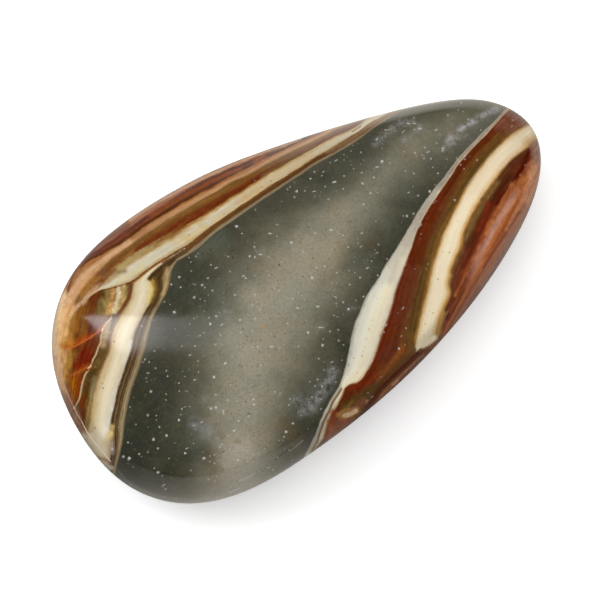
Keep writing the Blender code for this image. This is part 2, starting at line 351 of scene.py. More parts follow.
R4 = ((270, 640), (312, 540), (338, 470), (358, 424), (367, 408), (373.5, 398.5), (380, 389), (390, 379), (400, 370), (410, 361), (419, 352.5), (428, 346), (437, 337), (437.3, 330.7), (439.3, 325.5), (440, 320),
      (442, 314), (444.7, 308), (448, 301.5), (450.5, 296), (451.3, 291.5), (449.3, 286.5), (449.7, 280),
      (452, 276), (451, 273), (452.2, 268), (454.7, 262), (457.3, 256), (460, 251), (462, 245),
      (462.8, 240), (464, 233.5), (466.7, 226.5), (470, 219.5), (473.3, 213), (477, 206), (480.7, 201.5),
      (480.5, 199.5), (482.5, 196.5), (487, 191), (491, 185), (495.5, 179), (500, 172), (504.7, 166.7),
      (510, 160.7), (516, 156), (521.5, 152), (527.5, 148), (533, 142.7), (537, 138), (548, 128), (580, 102))
R5 = ((330, 600), (372, 500), (400, 440), (425, 390), (440, 350), (447, 330), (455, 316), (463, 302), (472, 286), (483, 268), (486.7, 262),
      (490.7, 256), (495, 249), (499, 243), (503, 237), (506.7, 231), (510, 225), (514, 219), (518, 213),
      (525, 200), (531, 186), (537, 172), (543, 160), (556, 140), (590, 112))


def signed(line):
    """Signed distance of every place on the drawing plane from a boundary, whose ends run on."""
    line = np.array(line, np.float32)
    xs, ys = flat[:, 0].astype(np.float32), flat[:, 1].astype(np.float32)
    out = np.empty(len(xs), np.float32)
    for at in range(0, len(xs), 12000):
        x, y = xs[at:at + 12000], ys[at:at + 12000]
        best, side = np.full(len(x), 1e9, np.float32), np.ones(len(x), np.float32)
        for k in range(len(line) - 1):
            dx, dy = line[k + 1] - line[k]
            rx, ry = x - line[k, 0], y - line[k, 1]
            u = (rx * dx + ry * dy) / (dx * dx + dy * dy)
            if k > 0:
                u = np.maximum(u, 0.0)
            if k < len(line) - 2:
                u = np.minimum(u, 1.0)
            ex, ey = rx - u * dx, ry - u * dy
            q = ex * ex + ey * ey
            near = q < best
            best = np.where(near, q, best)
            side = np.where(near, dx * ry - dy * rx, side)
        out[at:at + 12000] = np.sqrt(best) * np.sign(side)
    return out.astype(float)


def rounded(line, times=1):
    """The same line with its corners cut, so a boundary has no kinks."""
    line = [tuple(map(float, q)) for q in line]
    for _ in range(times):
        out = [line[0]]
        for a, b in zip(line[:-1], line[1:]):
            out += [(0.75 * a[0] + 0.25 * b[0], 0.75 * a[1] + 0.25 * b[1]),
                    (0.25 * a[0] + 0.75 * b[0], 0.25 * a[1] + 0.75 * b[1])]
        out.append(line[-1])
        line = out
    return line


def side_of(line):
    return signed(rounded(line))


def layered(dists):
    """Layer coordinate from signed distances to boundaries in order: 2.5 is halfway from the third to the fourth."""
    c = np.minimum(dists[0], 0.0) / 12.0
    for a, b in zip(dists[:-1], dists[1:]):
        part = np.where(b >= 0.0, 1.0, np.where(a <= 0.0, 0.0, a / np.maximum(a - b, 0.25)))
        c = c + part
    return c + np.maximum(dists[-1], 0.0) / 12.0


d9 = side_of(U9)
dr0 = side_of(R0)
cU = layered([side_of(q) for q in (RIM, U1, U2, U3, U4, U5, U6, U8)] + [d9])
cW = layered([side_of(q) for q in (PART, W3, W4, W5)] + [d9])
cR = layered([dr0] + [side_of(q) for q in (R1, R3, R4, R5)])
dPart = side_of(PART)
# Left of the parting the fifth and later layers have pinched out.
cU = np.where(flat[:, 1] > 299.0, np.minimum(cU, 4.9), cU)
# Below the brow the outermost layer of each flank gives way to deeper ones.
sunk = smooth((-0.04 - facing) / 0.45)
cU = cU - 4.0 * sunk * smooth((1.3 - cU) / 0.9)
cR = cR + 3.5 * sunk * smooth((cR - 3.7) / 0.9)
roam = smooth((0.02 - facing) / 0.16)
cU = cU - roam * smooth((1.1 - cU) / 1.2) * (1.3 + 1.5 * lump(pts, 9.0, 45) + 0.5 * lump(pts, 3.4, 46))
cR = cR + roam * smooth((cR - 3.9) / 0.5) * (0.5 + 1.0 * lump(pts, 6.0, 33) + 0.4 * lump(pts, 2.6, 34))
sU = flat @ np.array([0.84, -0.54])
sW = flat @ np.array([-0.25, 0.97])
sR = flat @ np.array([-0.42, 0.91])

# ---------------------------------------------------------------------------
# Mineral colours, as seen under a white light (0-255, display values).
# ---------------------------------------------------------------------------
EXPOSE = 0.87


def tone(rgb, gain=1.0):
    out = []
    for v in rgb:
        v = max(0.0, v / 255.0)
        v = v / 12.92 if v <= 0.04045 else ((v + 0.055) / 1.055) ** 2.4
        out.append(v * EXPOSE * gain)
    return tuple(out)


CREAM, IVORY, BUTTER = (228, 212, 178), (224, 218, 200), (214, 190, 130)
TAN, PEACH, SAND = (182, 150, 108), (196, 140, 98), (200, 165, 112)
AMBER, OCHRE, ORANGE = (180, 118, 48), (172, 124, 52), (176, 92, 34)
RUST, BRICK, OXBLOOD = (128, 54, 16), (108, 28, 6), (84, 18, 4)
MAROON, PLUM, UMBER = (92, 44, 24), (98, 58, 48), (78, 48, 18)
OLIVE, MOSS, KHAKI = (104, 78, 36), (84, 66, 30), (128, 108, 62)
SLATE, SLATE_DEEP, STONE = (88, 88, 76), (60, 60, 46), (146, 139, 118)

# ---------------------------------------------------------------------------
# Soft patches of another colour: (points along it, radius, colour, strength, core)
# ---------------------------------------------------------------------------
PATCHES = [
    # blunt end, above the parting
    # Partly the peach stone, partly painted reflection: the bright band along the blunt end's outline is painted into
    # the colour.
    (((63, 298), (57, 318), (54, 345), (57, 375)), 6.5, (255, 216, 166), 0.9, 0.35, ""),
    (((60, 345), (62, 325), (67, 305), (76, 291), (88, 274)), 4.2, (228, 180, 126), 0.85, 0.3, "U0:6"),
    (((64.5, 372), (64, 345), (67, 322), (73, 308)), 3.8, (214, 164, 104), 0.85, 0.3, ""),
    (((69.5, 365), (70, 345), (72, 328), (77, 314)), 2.8, (160, 112, 48), 0.8, 0.2, ""),
    (((76, 330), (79, 315), (83, 305)), 3.4, (140, 84, 26), 0.85, 0.3, ""),
    (((83, 335), (84, 318), (87, 305)), 3.4, (132, 88, 36), 0.8, 0.3, ""),
    (((96, 287), (88, 295), (84, 303)), 2.4, (190, 152, 116), 0.8, 0.2, ""),
    (((101, 284), (94, 288), (88, 295)), 2.4, (166, 132, 98), 0.7, 0.2, "U3:6"),
    (((98, 278), (92, 286), (84, 296)), 3.5, (168, 118, 66), 0.6, 0.2, "U3:5"),
    # These two light tan streaks near the upper-left edge are partly a tan band, partly painted sheen where the surface
    # turns away.
    (((66.5, 302), (72.4, 290), (80, 280), (90, 270), (100, 262.7), (114, 252), (130, 242)), 2.6, (210, 168, 128), 0.85, 0.2, ""),
    (((72, 297), (80, 286), (90, 275), (98, 268)), 2.2, (206, 158, 112), 0.7, 0.2, ""),
    (((82, 292), (92, 281), (101, 271)), 3.0, (152, 100, 42), 0.75, 0.2, "U2:4"),
    (((150, 215), (165, 205), (180, 198), (200, 187), (220, 177), (240, 169)), 3.0, (146, 78, 38), 0.75, 0.2, "U1:2"),
    (((262, 156), (256, 161)), 4, (160, 84, 40), 0.7, 0.2, ""),
    (((100, 249), (112, 241), (126, 232)), 3, (122, 62, 42), 0.6, 0.2, "U1:2"),
    (((112, 276), (118, 273), (125, 271)), 2.4, (134, 110, 60), 0.85, 0.3, ""),
    (((112, 274), (125, 264), (140, 253), (155, 243), (170, 233)), 4.4, (150, 118, 68), 0.8, 0.3, "U4.7:5.6"),
    (((128, 259), (142, 249), (158, 239)), 1.5, (208, 190, 154), 0.7, 0.1, "U4.7:6"),
    (((114, 273), (124, 266), (134, 259)), 1.5, (196, 172, 128), 0.7, 0.1, "U4.7:6"),
    (((120, 266), (132, 259), (150, 249), (166, 240)), 3.4, (164, 140, 92), 0.5, 0.2, "U5:6"),
    (((152, 238), (172, 226), (196, 211), (222, 195), (250, 178)), 2.2, (176, 128, 66), 0.55, 0.1, "U4.8:5.6"),
    (((150, 232), (170, 219), (190, 208)), 3.0, (132, 70, 22), 0.6, 0.2, "U4:5"),
    (((186, 238), (194, 240)), 4, (196, 164, 96), 0.6, 0.2, "U5:6"),
    (((202, 227),), 3.5, (198, 166, 98), 0.55, 0.2, "U5:6"),
    (((214, 222), (236, 207), (262, 187)), 3.6, (200, 176, 128), 0.6, 0.2, "U5:6"),
    (((245, 197), (250, 200)), 3.5, (198, 166, 98), 0.55, 0.2, "U5:6"),
    (((257, 192),), 3.2, (200, 165, 90), 0.5, 0.2, "U5:6"),
    (((236, 203), (262, 186), (290, 168), (312, 155)), 3.4, (194, 156, 106), 0.6, 0.2, "U5:6"),
    (((176, 243), (190, 236), (205, 226)), 3.0, (206, 178, 122), 0.5, 0.2, "U5:6"),
    (((262, 184), (300, 160), (330, 144)), 3.5, (204, 186, 146), 0.5, 0.2, "U5:6"),
    (((264, 176), (285, 163), (312, 147)), 3.8, (122, 90, 56), 0.8, 0.3, "U3.6:5"),
    (((136, 237), (150, 227), (166, 216)), 3.0, (160, 114, 76), 0.65, 0.2, "U2:3"),
    (((476, 188), (498, 162), (522, 138)), 9.0, (234, 212, 178), 0.6, 0.4, "R2:3"),
    (((330, 150), (350, 139), (372, 124), (392, 113)), 5, (136, 104, 76), 0.7, 0.3, "U6:7"),
    (((101, 271), (108, 277), (114, 271)), 5, (112, 74, 50), 0.8, 0.3, "U3:6"),
    (((104, 280), (112, 270), (122, 262), (132, 254)), 3.4, (138, 94, 48), 0.85, 0.2, "U3:5"),
    (((128, 262), (145, 250), (165, 238), (185, 227)), 3.6, (130, 84, 34), 0.55, 0.2, "U4.4:6"),
    (((118, 267), (136, 257), (152, 247)), 2.4, (172, 150, 96), 0.8, 0.2, "U4.7:6"),
    (((100, 284), (110, 279), (118, 276)), 2.6, (182, 158, 112), 0.85, 0.3, "U5:6"),
    (((118, 281), (130, 275), (142, 267)), 3.0, (204, 188, 142), 0.7, 0.2, "U5:6"),
    (((80, 262), (96, 247), (112, 236), (128, 226)), 3.0, (112, 66, 54), 0.7, 0.2, "U0:2"),
    # Painted highlight: a light tan rim line just inside the upper-left outline.
    (((130, 219), (150, 205.5), (180, 189), (210, 174), (240, 160), (270, 149), (300, 138)), 2.4, (222, 176, 142), 0.85, 0.4, ""),
    (((148, 228), (170, 215), (196, 201), (220, 189)), 2.4, (190, 144, 100), 0.5, 0.2, "U2:3"),
    # lower left, between the parting and the squiggle
    (((93, 296), (93, 306), (90, 318)), 4.6, (98, 44, 14), 0.9, 0.4, "W0:1"),
    (((88, 306), (86, 322), (85, 332)), 4, (112, 66, 18), 0.75, 0.2, "W0:1"),
    (((90, 322), (92, 330)), 5, (92, 42, 22), 0.85, 0.3, "W0:1"),
    (((87, 336.5), (78, 341)), 3.4, (152, 64, 14), 0.8, 0.2, "W0:1"),
    (((64, 345), (71, 342)), 4, (176, 112, 38), 0.85, 0.2, ""),
    (((70, 356), (68, 368)), 4, (150, 108, 46), 0.8, 0.2, ""),
    (((76, 352), (76, 360)), 3.2, (124, 84, 36), 0.7, 0.2, ""),
    (((86, 346), (93, 344)), 5, (98, 44, 20), 0.85, 0.3, "W0:1"),
    (((84, 353), (80, 364), (89, 359)), 5.5, (108, 28, 6), 0.95, 0.4, "W0:1"),
    (((76, 366), (84, 367)), 4, (122, 34, 6), 0.9, 0.3, "W0:1"),
    (((64, 372), (65, 380)), 4, (190, 136, 62), 0.85, 0.2, ""),
    (((74, 380), (72, 390), (73, 400)), 3.6, (166, 98, 14), 0.9, 0.2, "W0:1"),
    (((69, 386), (72, 402)), 3.0, (140, 80, 16), 0.8, 0.2, "W0:1"),
    (((79, 378), (78, 394), (76, 402)), 2.8, (124, 54, 8), 0.9, 0.3, "W0:1"),
    (((65, 348.3), (81, 342.7), (97, 332.7), (105, 325.3)), 2.4, (172, 76, 24), 0.5, 0.0, ""),
    (((69, 377), (79.7, 371), (90, 366)), 3.0, (166, 88, 30), 0.55, 0.1, ""),
    # between the squiggle and the cream
    (((103, 293), (104, 298)), 3.6, (84, 56, 22), 0.9, 0.3, ""),
    (((102, 302), (100, 312)), 4.2, (122, 104, 58), 0.9, 0.3, ""),
    (((108, 292), (107, 304), (104, 314)), 3.2, (142, 120, 66), 0.9, 0.3, ""),
    (((113, 290), (112, 302), (108, 313)), 2.8, (196, 148, 86), 0.9, 0.3, ""),
    (((118.5, 289), (118, 300), (114, 311)), 2.6, (226, 204, 158), 1.0, 0.4, ""),
    (((124, 287), (123, 297), (118, 308)), 2.6, (194, 164, 104), 0.9, 0.3, ""),
    (((131, 285), (129, 296), (124, 306)), 2.0, (96, 64, 34), 0.75, 0.2, ""),
    (((104, 352), (100, 362), (96, 374)), 3.2, (98, 74, 34), 0.8, 0.2, "W1:2"),
    (((107, 322), (106, 332), (103, 344)), 3.8, (184, 150, 108), 0.85, 0.3, "W1:2"),
    (((92, 372), (88, 382), (86, 396)), 3.6, (76, 50, 14), 0.9, 0.3, "W1:2"),
    (((83, 398), (82, 408), (84, 424)), 3.8, (98, 40, 8), 0.95, 0.3, "W1:2"),
    (((95, 378), (93, 388), (91, 397)), 2.2, (124, 110, 78), 0.85, 0.2, "W1:2"),
    (((90, 402), (88, 414), (87, 428)), 2.2, (126, 102, 56), 0.85, 0.2, "W1:2"),
    (((116, 322), (112, 336)), 2.4, (196, 170, 124), 0.6, 0.2, "W2:3"),
    (((108, 360), (103, 372), (98, 384)), 3.0, (200, 172, 130), 0.7, 0.2, "W2:3"),
    (((94, 394), (92, 412), (90, 428)), 2.6, (202, 176, 132), 0.8, 0.2, "W2:3"),
    (((134, 345), (128, 362), (121, 385), (112, 412), (104, 436)), 4.6, (232, 226, 210), 0.65, 0.2, "W2:3"),
    (((114, 392), (110, 408), (107, 424)), 3.0, (206, 200, 182), 0.6, 0.2, "W2:3"),
    (((150, 284), (151, 292), (148, 300)), 4.2, (214, 196, 138), 0.85, 0.2, "W2:3"),
    (((112, 427), (110, 438)), 2.8, (196, 166, 104), 0.7, 0.2, ""),
    (((110, 434), (104, 444)), 3.2, (214, 188, 128), 0.6, 0.2, ""),
    (((111, 441), (112, 452)), 2.6, (166, 146, 128), 0.8, 0.2, ""),
    (((153, 281), (155, 290), (152, 301)), 2.2, (182, 142, 64), 0.9, 0.2, "W2:4"),
    (((158, 270), (166, 263.5)), 3.0, (166, 146, 116), 0.85, 0.3, "W2:3"),
    (((168, 262.5), (178, 255.5), (192, 245)), 3.4, (108, 78, 48), 0.97, 0.8, "W1.9:3.1"),
    (((158, 276), (158, 290), (153, 304)), 4.2, (74, 54, 22), 0.75, 0.2, "W3:4"),
    (((167, 268), (167, 282), (163, 294)), 1.8, (176, 148, 96), 0.85, 0.2, "W3:4"),
    (((150, 276), (162, 268), (174, 260)), 2.0, (66, 44, 22), 0.85, 0.2, "W3:4"),
    # the side below the ridge at the blunt end
    # Partly the peach stone, partly painted reflection along the left outline.
    (((56, 358), (60, 385), (63, 394)), 5, (226, 172, 124), 0.9, 0.3, ""),
    # Mauve side below the ridge: partly the stone's colour, partly the floor's reflection painted in.
    (((62, 398), (70, 416), (80, 434)), 6.5, (150, 104, 84), 0.95, 0.5, ""),
    (((97, 287), (86, 297), (78, 306), (72, 314)), 1.6, (214, 178, 142), 0.6, 0.1, ""),
    (((76, 301), (86, 296), (97, 289)), 3.0, (190, 146, 102), 0.85, 0.3, "U4.6:6"),
    (((84, 440), (92, 450), (100, 457)), 7, (206, 192, 158), 0.95, 0.6, ""),
    (((92, 437), (102, 451)), 4, (222, 206, 174), 0.8, 0.4, ""),
    (((98, 457.5), (104, 459.5), (110, 462)), 1.6, (156, 104, 58), 0.85, 0.3, ""),
    (((104, 465), (112, 468)), 2.4, (196, 182, 158), 0.9, 0.3, ""),
    # right family, upper end to lower end
    (((512, 108), (500, 116), (482, 133), (464, 151), (450, 169)), 6.0, (152, 134, 116), 0.95, 1.2, "R0:0.97"),
    (((450, 169), (440, 184)), 8.0, (148, 135, 120), 0.95, 1.2, "R0:0.97"),
    (((432, 196), (424, 208), (413, 228), (408, 238)), 8.0, (166, 155, 140), 0.95, 1.2, "R0:0.97"),
    (((410, 236), (402, 252), (396, 266), (391, 278)), 9.5, (190, 180, 161), 0.8, 0.3, "R0:1"),
    (((388, 272), (376, 296), (366, 320), (358, 352)), 6.0, (226, 223, 208), 0.5, 0.0, "R0:1"),
    (((404, 262), (396, 284), (388, 308), (378, 336), (366, 364)), 6.0, (226, 217, 194), 0.7, 0.0, "R0:1"),
    (((340, 388), (332, 404), (324, 420), (318, 436), (309, 450)), 3.0, (170, 158, 138), 0.9, 0.5, "R0:1"),
    (((344, 392), (336, 406), (329, 422), (324, 436), (316, 447)), 2.0, (196, 176, 136), 0.85, 0.3, "R0:1"),
    (((500, 120), (520, 124)), 11, (134, 84, 64), 0.8, 0.3, "R1:2"),
    (((486, 138), (470, 156), (458, 172), (446, 190)), 4.0, (90, 38, 11), 0.8, 0.3, "R1:2"),
    (((498, 136), (482, 152), (468, 170), (456, 190), (446, 210)), 3.4, (106, 70, 28), 0.7, 0.2, "R1:2"),
    (((500, 142), (488, 154), (474, 171), (460, 192), (450, 210)), 2.0, (84, 62, 24), 0.85, 0.2, "R1:2"),
    (((436, 212), (430, 226), (425, 240), (420, 262)), 5.0, (96, 38, 10), 0.75, 0.3, "R1:2"),
    (((412, 270), (404, 295), (396, 320)), 7.0, (110, 54, 34), 0.6, 0.2, "R1:2"),
    (((433, 238), (428, 260), (422, 285), (416, 310), (412, 330)), 3.6, (92, 66, 28), 0.75, 0.2, "R1:2"),
    (((440, 222), (434, 240), (429, 256)), 2.4, (108, 72, 28), 0.7, 0.2, "R1:2"),
    (((392, 346), (386, 358)), 8, (94, 44, 28), 0.8, 0.3, "R1:2"),
    (((404, 350), (392, 364), (378, 378)), 5, (140, 76, 30), 0.75, 0.2, "R1:2"),
    (((352, 388), (366, 384), (376, 376)), 3.4, (126, 46, 18), 0.8, 0.2, "R1:2"),
    (((372, 390), (358, 398), (344, 406)), 5, (98, 70, 24), 0.9, 0.3, "R1:2"),
    (((352, 402), (344, 410), (340, 416)), 3, (140, 106, 40), 0.75, 0.2, "R1:2"),
    (((466, 238), (478, 214), (492, 190), (508, 168)), 2.6, (128, 100, 50), 0.75, 0.2, "R3:4"),
    (((470, 244), (480, 222), (494, 198), (510, 176)), 3.4, (74, 36, 16), 0.8, 0.2, "R3:4"),
    (((488, 204), (486, 216), (480, 230)), 4.0, (128, 44, 20), 0.8, 0.3, "R3:4"),
    (((504, 206), (496, 222), (488, 240)), 4.5, (178, 98, 46), 0.8, 0.2, "R3:5"),
    (((524, 178), (512, 198), (500, 222), (490, 242), (480, 264)), 4.5, (190, 112, 60), 0.85, 0.2, "R3:5"),
    (((530, 150), (522, 168), (514, 181), (506, 192), (498, 203)), 2.8, (82, 14, 4), 0.95, 0.3, ""),
    (((528, 146), (514, 160), (500, 178)), 4.0, (86, 36, 14), 0.8, 0.3, "R3:5"),
    (((466, 280), (456, 300), (446, 318)), 3.2, (96, 30, 8), 0.85, 0.3, "R3:5"),
    (((474, 268), (462, 290), (450, 312)), 2.2, (150, 78, 36), 0.7, 0.2, "R3:5"),
    (((438, 334), (440, 322), (443, 313)), 3.0, (200, 152, 82), 0.9, 0.3, "R2:4"),
    (((526, 144), (536, 136)), 4, (206, 166, 110), 0.75, 0.2, "R2:4"),
    # Mauve at the outline near the tip: partly the stone's colour, partly the grazing reflection of the floor painted
    # in.
    (((534, 146), (538, 158), (538, 163)), 5.5, (158, 112, 92), 0.85, 0.4, ""),
    # Painted reflection: the lighter peach patch just inside the right outline.
    (((534, 168), (532, 184), (527, 200)), 6.5, (206, 140, 98), 0.9, 0.3, ""),
    (((522, 206), (512, 226), (503, 242), (492, 262)), 4.5, (178, 108, 66), 0.8, 0.2, ""),
    # These two mauve strips along the right outline are partly the stone's colour, partly the grazing reflection of the
    # floor painted in.
    (((512, 236), (504, 252), (494, 270), (482, 290)), 4.5, (160, 114, 98), 0.8, 0.3, ""),
    (((478, 290), (470, 303), (458, 320)), 4.5, (150, 102, 84), 0.75, 0.3, ""),
    (((519, 212), (510, 225), (503, 237), (495, 249), (483, 268)), 1.8, (112, 40, 18), 0.75, 0.1, "R3:6"),
    (((500, 190), (492, 206), (484, 224), (474, 246), (464, 268)), 2.0, (96, 34, 14), 0.7, 0.1, "R3:5"),
    # These three lighter orange streaks along the right flank's highlight are partly mineral streaks, partly painted
    # highlight.
    (((512, 184), (503, 200), (494, 216), (486, 234)), 1.8, (206, 128, 70), 0.6, 0.1, "R3:5"),
    (((480, 246), (472, 262), (463, 280), (455, 296)), 1.6, (184, 110, 66), 0.6, 0.1, "R3:5"),
    (((524, 196), (514, 214), (506, 230)), 1.6, (212, 140, 90), 0.6, 0.1, "R3:6"),
    (((419, 347.5), (427, 343), (435, 338)), 2.9, (252, 238, 210), 0.9, 0.4, ""),
    (((426, 350), (418, 354)), 3.0, (90, 62, 24), 0.8, 0.3, ""),
    (((350, 411), (357, 409.5)), 2.8, (226, 192, 148), 0.95, 0.4, ""),
    (((338, 415), (344, 411.5), (350, 409.5)), 2.2, (190, 146, 74), 0.8, 0.2, ""),
    (((350, 420), (343, 425), (331, 434)), 4.4, (160, 86, 58), 0.95, 0.4, ""),
    (((340, 419), (347, 416), (352, 418)), 1.8, (176, 104, 40), 0.85, 0.2, ""),
    (((334, 412), (331, 424), (326, 436)), 3.0, (140, 60, 20), 0.9, 0.3, ""),
    (((328.5, 421), (329, 428)), 2.2, (156, 86, 24), 0.85, 0.2, ""),
    (((368, 402),), 2.6, (226, 206, 170), 0.9, 0.3, ""),
    (((364, 402), (352, 412), (340, 424), (330, 436)), 5, (150, 88, 56), 0.7, 0.3, ""),
    (((438, 345), (422, 361), (406, 377), (390, 391), (374, 404)), 5.5, (158, 98, 62), 0.85, 0.35, ""),
    # Painted glint: a pale pink streak along the lower-right edge.
    (((424, 355), (412, 366.5), (403, 375), (393, 385)), 1.6, (206, 158, 128), 0.7, 0.2, ""),
    (((419, 346), (425.5, 342.5), (433, 339)), 3.0, (255, 236, 198), 0.95, 0.2, ""),
    (((343, 416), (351, 414), (357, 410.5)), 3.9, (170, 112, 54), 0.8, 0.4, ""),
    (((345, 415.5), (351, 414), (356, 411)), 2.3, (240, 204, 160), 1.0, 0.6, ""),
    (((430, 350), (416, 364), (400, 379)), 1.8, (112, 58, 26), 0.7, 0.2, ""),
    # the seam where the second cream layer has pinched out
    (((421, 351), (410, 361), (400, 370), (390, 379), (380, 389), (373.5, 398.5), (367, 408), (358, 424),
      (338, 470), (312, 540), (270, 640)), 2.6, (104, 60, 30), 1.0, 0.9, "*"),
    # the grey's own clouds, veils and stains
    (((248, 292), (256, 298)), 12, (160, 152, 132), 0.45, 0.0, "G"),
    (((234, 334),), 15, (160, 152, 130), 0.4, 0.0, "G"),
    (((246, 358), (254, 366)), 13, (160, 150, 130), 0.4, 0.0, "G"),
    (((252, 400),), 13, (160, 150, 132), 0.35, 0.0, "G"),
    (((240, 452), (240, 478)), 18, (174, 167, 152), 0.75, 0.1, "G"),
    (((206, 455), (212, 468)), 8, (82, 78, 62), 0.4, 0.1, "G"),
    (((336, 174), (352, 158)), 18, (66, 68, 59), 0.35, 0.0, "G"),
    (((366, 140),), 14, (70, 70, 62), 0.4, 0.0, "G"),
    (((262, 206), (290, 196)), 16, (62, 63, 52), 0.4, 0.0, "G"),
    (((200, 250), (222, 238)), 12, (92, 100, 86), 0.45, 0.0, "G"),
    (((330, 250), (322, 262)), 16, (160, 148, 118), 0.35, 0.0, "G"),
    (((284, 424), (294, 436), (296, 446)), 8, (104, 88, 56), 0.45, 0.1, "G"),
    (((234, 442), (240, 442)), 2.4, (128, 104, 66), 0.5, 0.1, "G"),
    (((219, 388),), 2.2, (122, 102, 66), 0.45, 0.1, "G"),
    (((279, 400),), 2.2, (122, 102, 66), 0.45, 0.1, "G"),
    (((262, 327),), 3, (172, 148, 104), 0.5, 0.1, "G"),
    (((368, 245), (380, 236)), 7, (84, 74, 54), 0.4, 0.1, "G"),
    (((410, 168), (400, 182)), 12, (98, 98, 84), 0.4, 0.0, "G"),
]


def held_to(text):
    """Keeps a patch to one family of layers between two layer coordinates, or to the grey."""
    if text in ("", "*"):
        return 1.0
    if text == "G":
        return smooth(d9 / 2.0) * smooth(-dr0 / 2.0)
    low, high = (float(v) for v in text[1:].split(":"))
    c = {"U": cU, "W": cW, "R": cR}[text[0]]
    where = {"U": smooth(0.5 - dPart) * smooth(0.5 - d9), "W": smooth(0.5 + dPart) * smooth(0.5 - d9),
             "R": smooth(0.5 + dr0)}[text[0]]
    return where * smooth((c - low) / 0.14 + 0.5) * smooth((high - c) / 0.14 + 0.5)


def reach_of(points, radius):
    line = [tuple(map(float, q)) for q in points]
    if len(line) == 1:
        off = flat - np.array(line[0])
    else:
        off = np.zeros((len(flat), 2))
        best = np.full(len(flat), 1e9)
        for s, e in zip(line[:-1], line[1:]):
            s, e = np.array(s), np.array(e)
            d = e - s
            u = np.clip(((flat - s) @ d) / (d @ d), 0.0, 1.0)
            v = flat - s - u[:, None] * d
            q = (v * v).sum(1)
            near = q < best
            best = np.where(near, q, best)
            off[near] = v[near]
    return off / radius


tint = np.zeros((len(pts), 3))
cover = np.zeros(len(pts))


def depth(c, thick):
    """Depth in a stack of layers, from the thickness of each. It runs on past both ends."""
    inside = np.interp(c, np.arange(len(thick) + 1), np.concatenate([[0.0], np.cumsum(thick)]))
    return inside + 12.0 * np.minimum(c, 0.0) + 12.0 * np.maximum(c - len(thick), 0.0)


deep = {"U": depth(cU, (18, 8, 10, 7, 10, 15, 7, 6, 5)), "W": depth(cW, (42, 12, 28, 14, 20)),
        "R": depth(cR, (24, 30, 26, 26, 30, 20))}
along = {"U": sU, "W": sW, "R": sR}
ragged = 1.0 + 0.20 * lump(pts, 1.3, 11) + 0.16 * lump(pts, 0.6, 12)
torn_by = {"": ragged, "G": ragged, "*": ragged}
in_front = smooth((facing + 0.12) / 0.14)
for k, name in enumerate("UWR"):
    flow = np.stack([deep[name] / 2.6, along[name] / 24.0, np.zeros(len(flat))], 1)
    torn_by[name] = (ragged + 0.42 * lump(flow, 1.0, 15 + k) + 0.26 * lump(flow * 2.3, 1.0, 18 + k))
for points, radius, colour, strength, core, hold in PATCHES:
    far = np.linalg.norm(reach_of(points, radius), axis=1) * torn_by[hold[:1]]
    if hold == "*":
        far = far / (1.0 + 1.4 * smooth(-facing / 0.3))
    core = 0.4 * core if hold[:1] in ("U", "R") else core
    amount = strength * (1.0 - smooth((far - core) / (1.5 - core))) * held_to(hold)
    amount = amount * (1.0 if hold == "*" else in_front)
    rgb = np.array(tone(colour))
    total_cover = amount + cover * (1.0 - amount)
    safe = np.maximum(total_cover, 1e-6)
    tint = (amount[:, None] * rgb + ((1.0 - amount) * cover)[:, None] * tint) / safe[:, None]
    cover = total_cover

# ---------------------------------------------------------------------------
# Crisp marks: an offset field whose length is 1 at the mark's edge.
# ---------------------------------------------------------------------------


def marks(items):
    """items are (points, half width, value). Returns the offset field and each place's nearest value."""
    best = np.full(len(flat), 1e9)
    second = np.full(len(flat), 1e9)
    field = np.zeros((len(flat), 4))
    for points, half, value in items:
        box = np.array(points, float)
        lo2, hi2 = box.min(0) - 30.0, box.max(0) + 30.0
        sel = np.nonzero(((flat > lo2) & (flat < hi2)).all(1))[0]
        p = flat[sel]
        line = [np.array(q, float) for q in points]
        if len(line) == 1:
            off = p - line[0]
            q = (off * off).sum(1)
        else:
            off = np.zeros((len(p), 2))
            q = np.full(len(p), 1e9)
            for s, e in zip(line[:-1], line[1:]):
                d = e - s
                u = np.clip(((p - s) @ d) / (d @ d), 0.0, 1.0)
                v = p - s - u[:, None] * d
                qq = (v * v).sum(1)
                near = qq < q
                q = np.where(near, qq, q)
                off[near] = v[near]
        dist = np.sqrt(q)
        score = dist - half
        take = score < best[sel]
        idx = sel[take]
        second[sel] = np.where(take, best[sel], np.minimum(second[sel], score))
        best[idx] = score[take]
        field[idx, :2] = off[take] / half
        field[idx, 2] = 8.0 * np.maximum(0.0, (dist[take] - half - 2.2) / half)
        field[idx, 3] = value
    # Between two marks the offset turns round, so it's lifted clear of both there.
    between = (second - best < 2.2) & (best > 0.25)
    field[between, 2] = np.maximum(field[between, 2], 5.0)
    gone = (best > 1e8) | (facing < 0.0)
    field[gone] = (0.0, 0.0, 60.0, 0.0)
    return field


def spots(text, half, value):
    out = []
    for item in text.split():
        x, y = (float(v) for v in item.split(","))
        odd = (math.sin(x * 12.9898 + y * 78.233) * 43758.5453) % 1.0
        out.append((((x, y),), half * (0.7 + 0.6 * odd), value * (0.75 + 0.45 * ((odd * 7.31) % 1.0))))
    return out


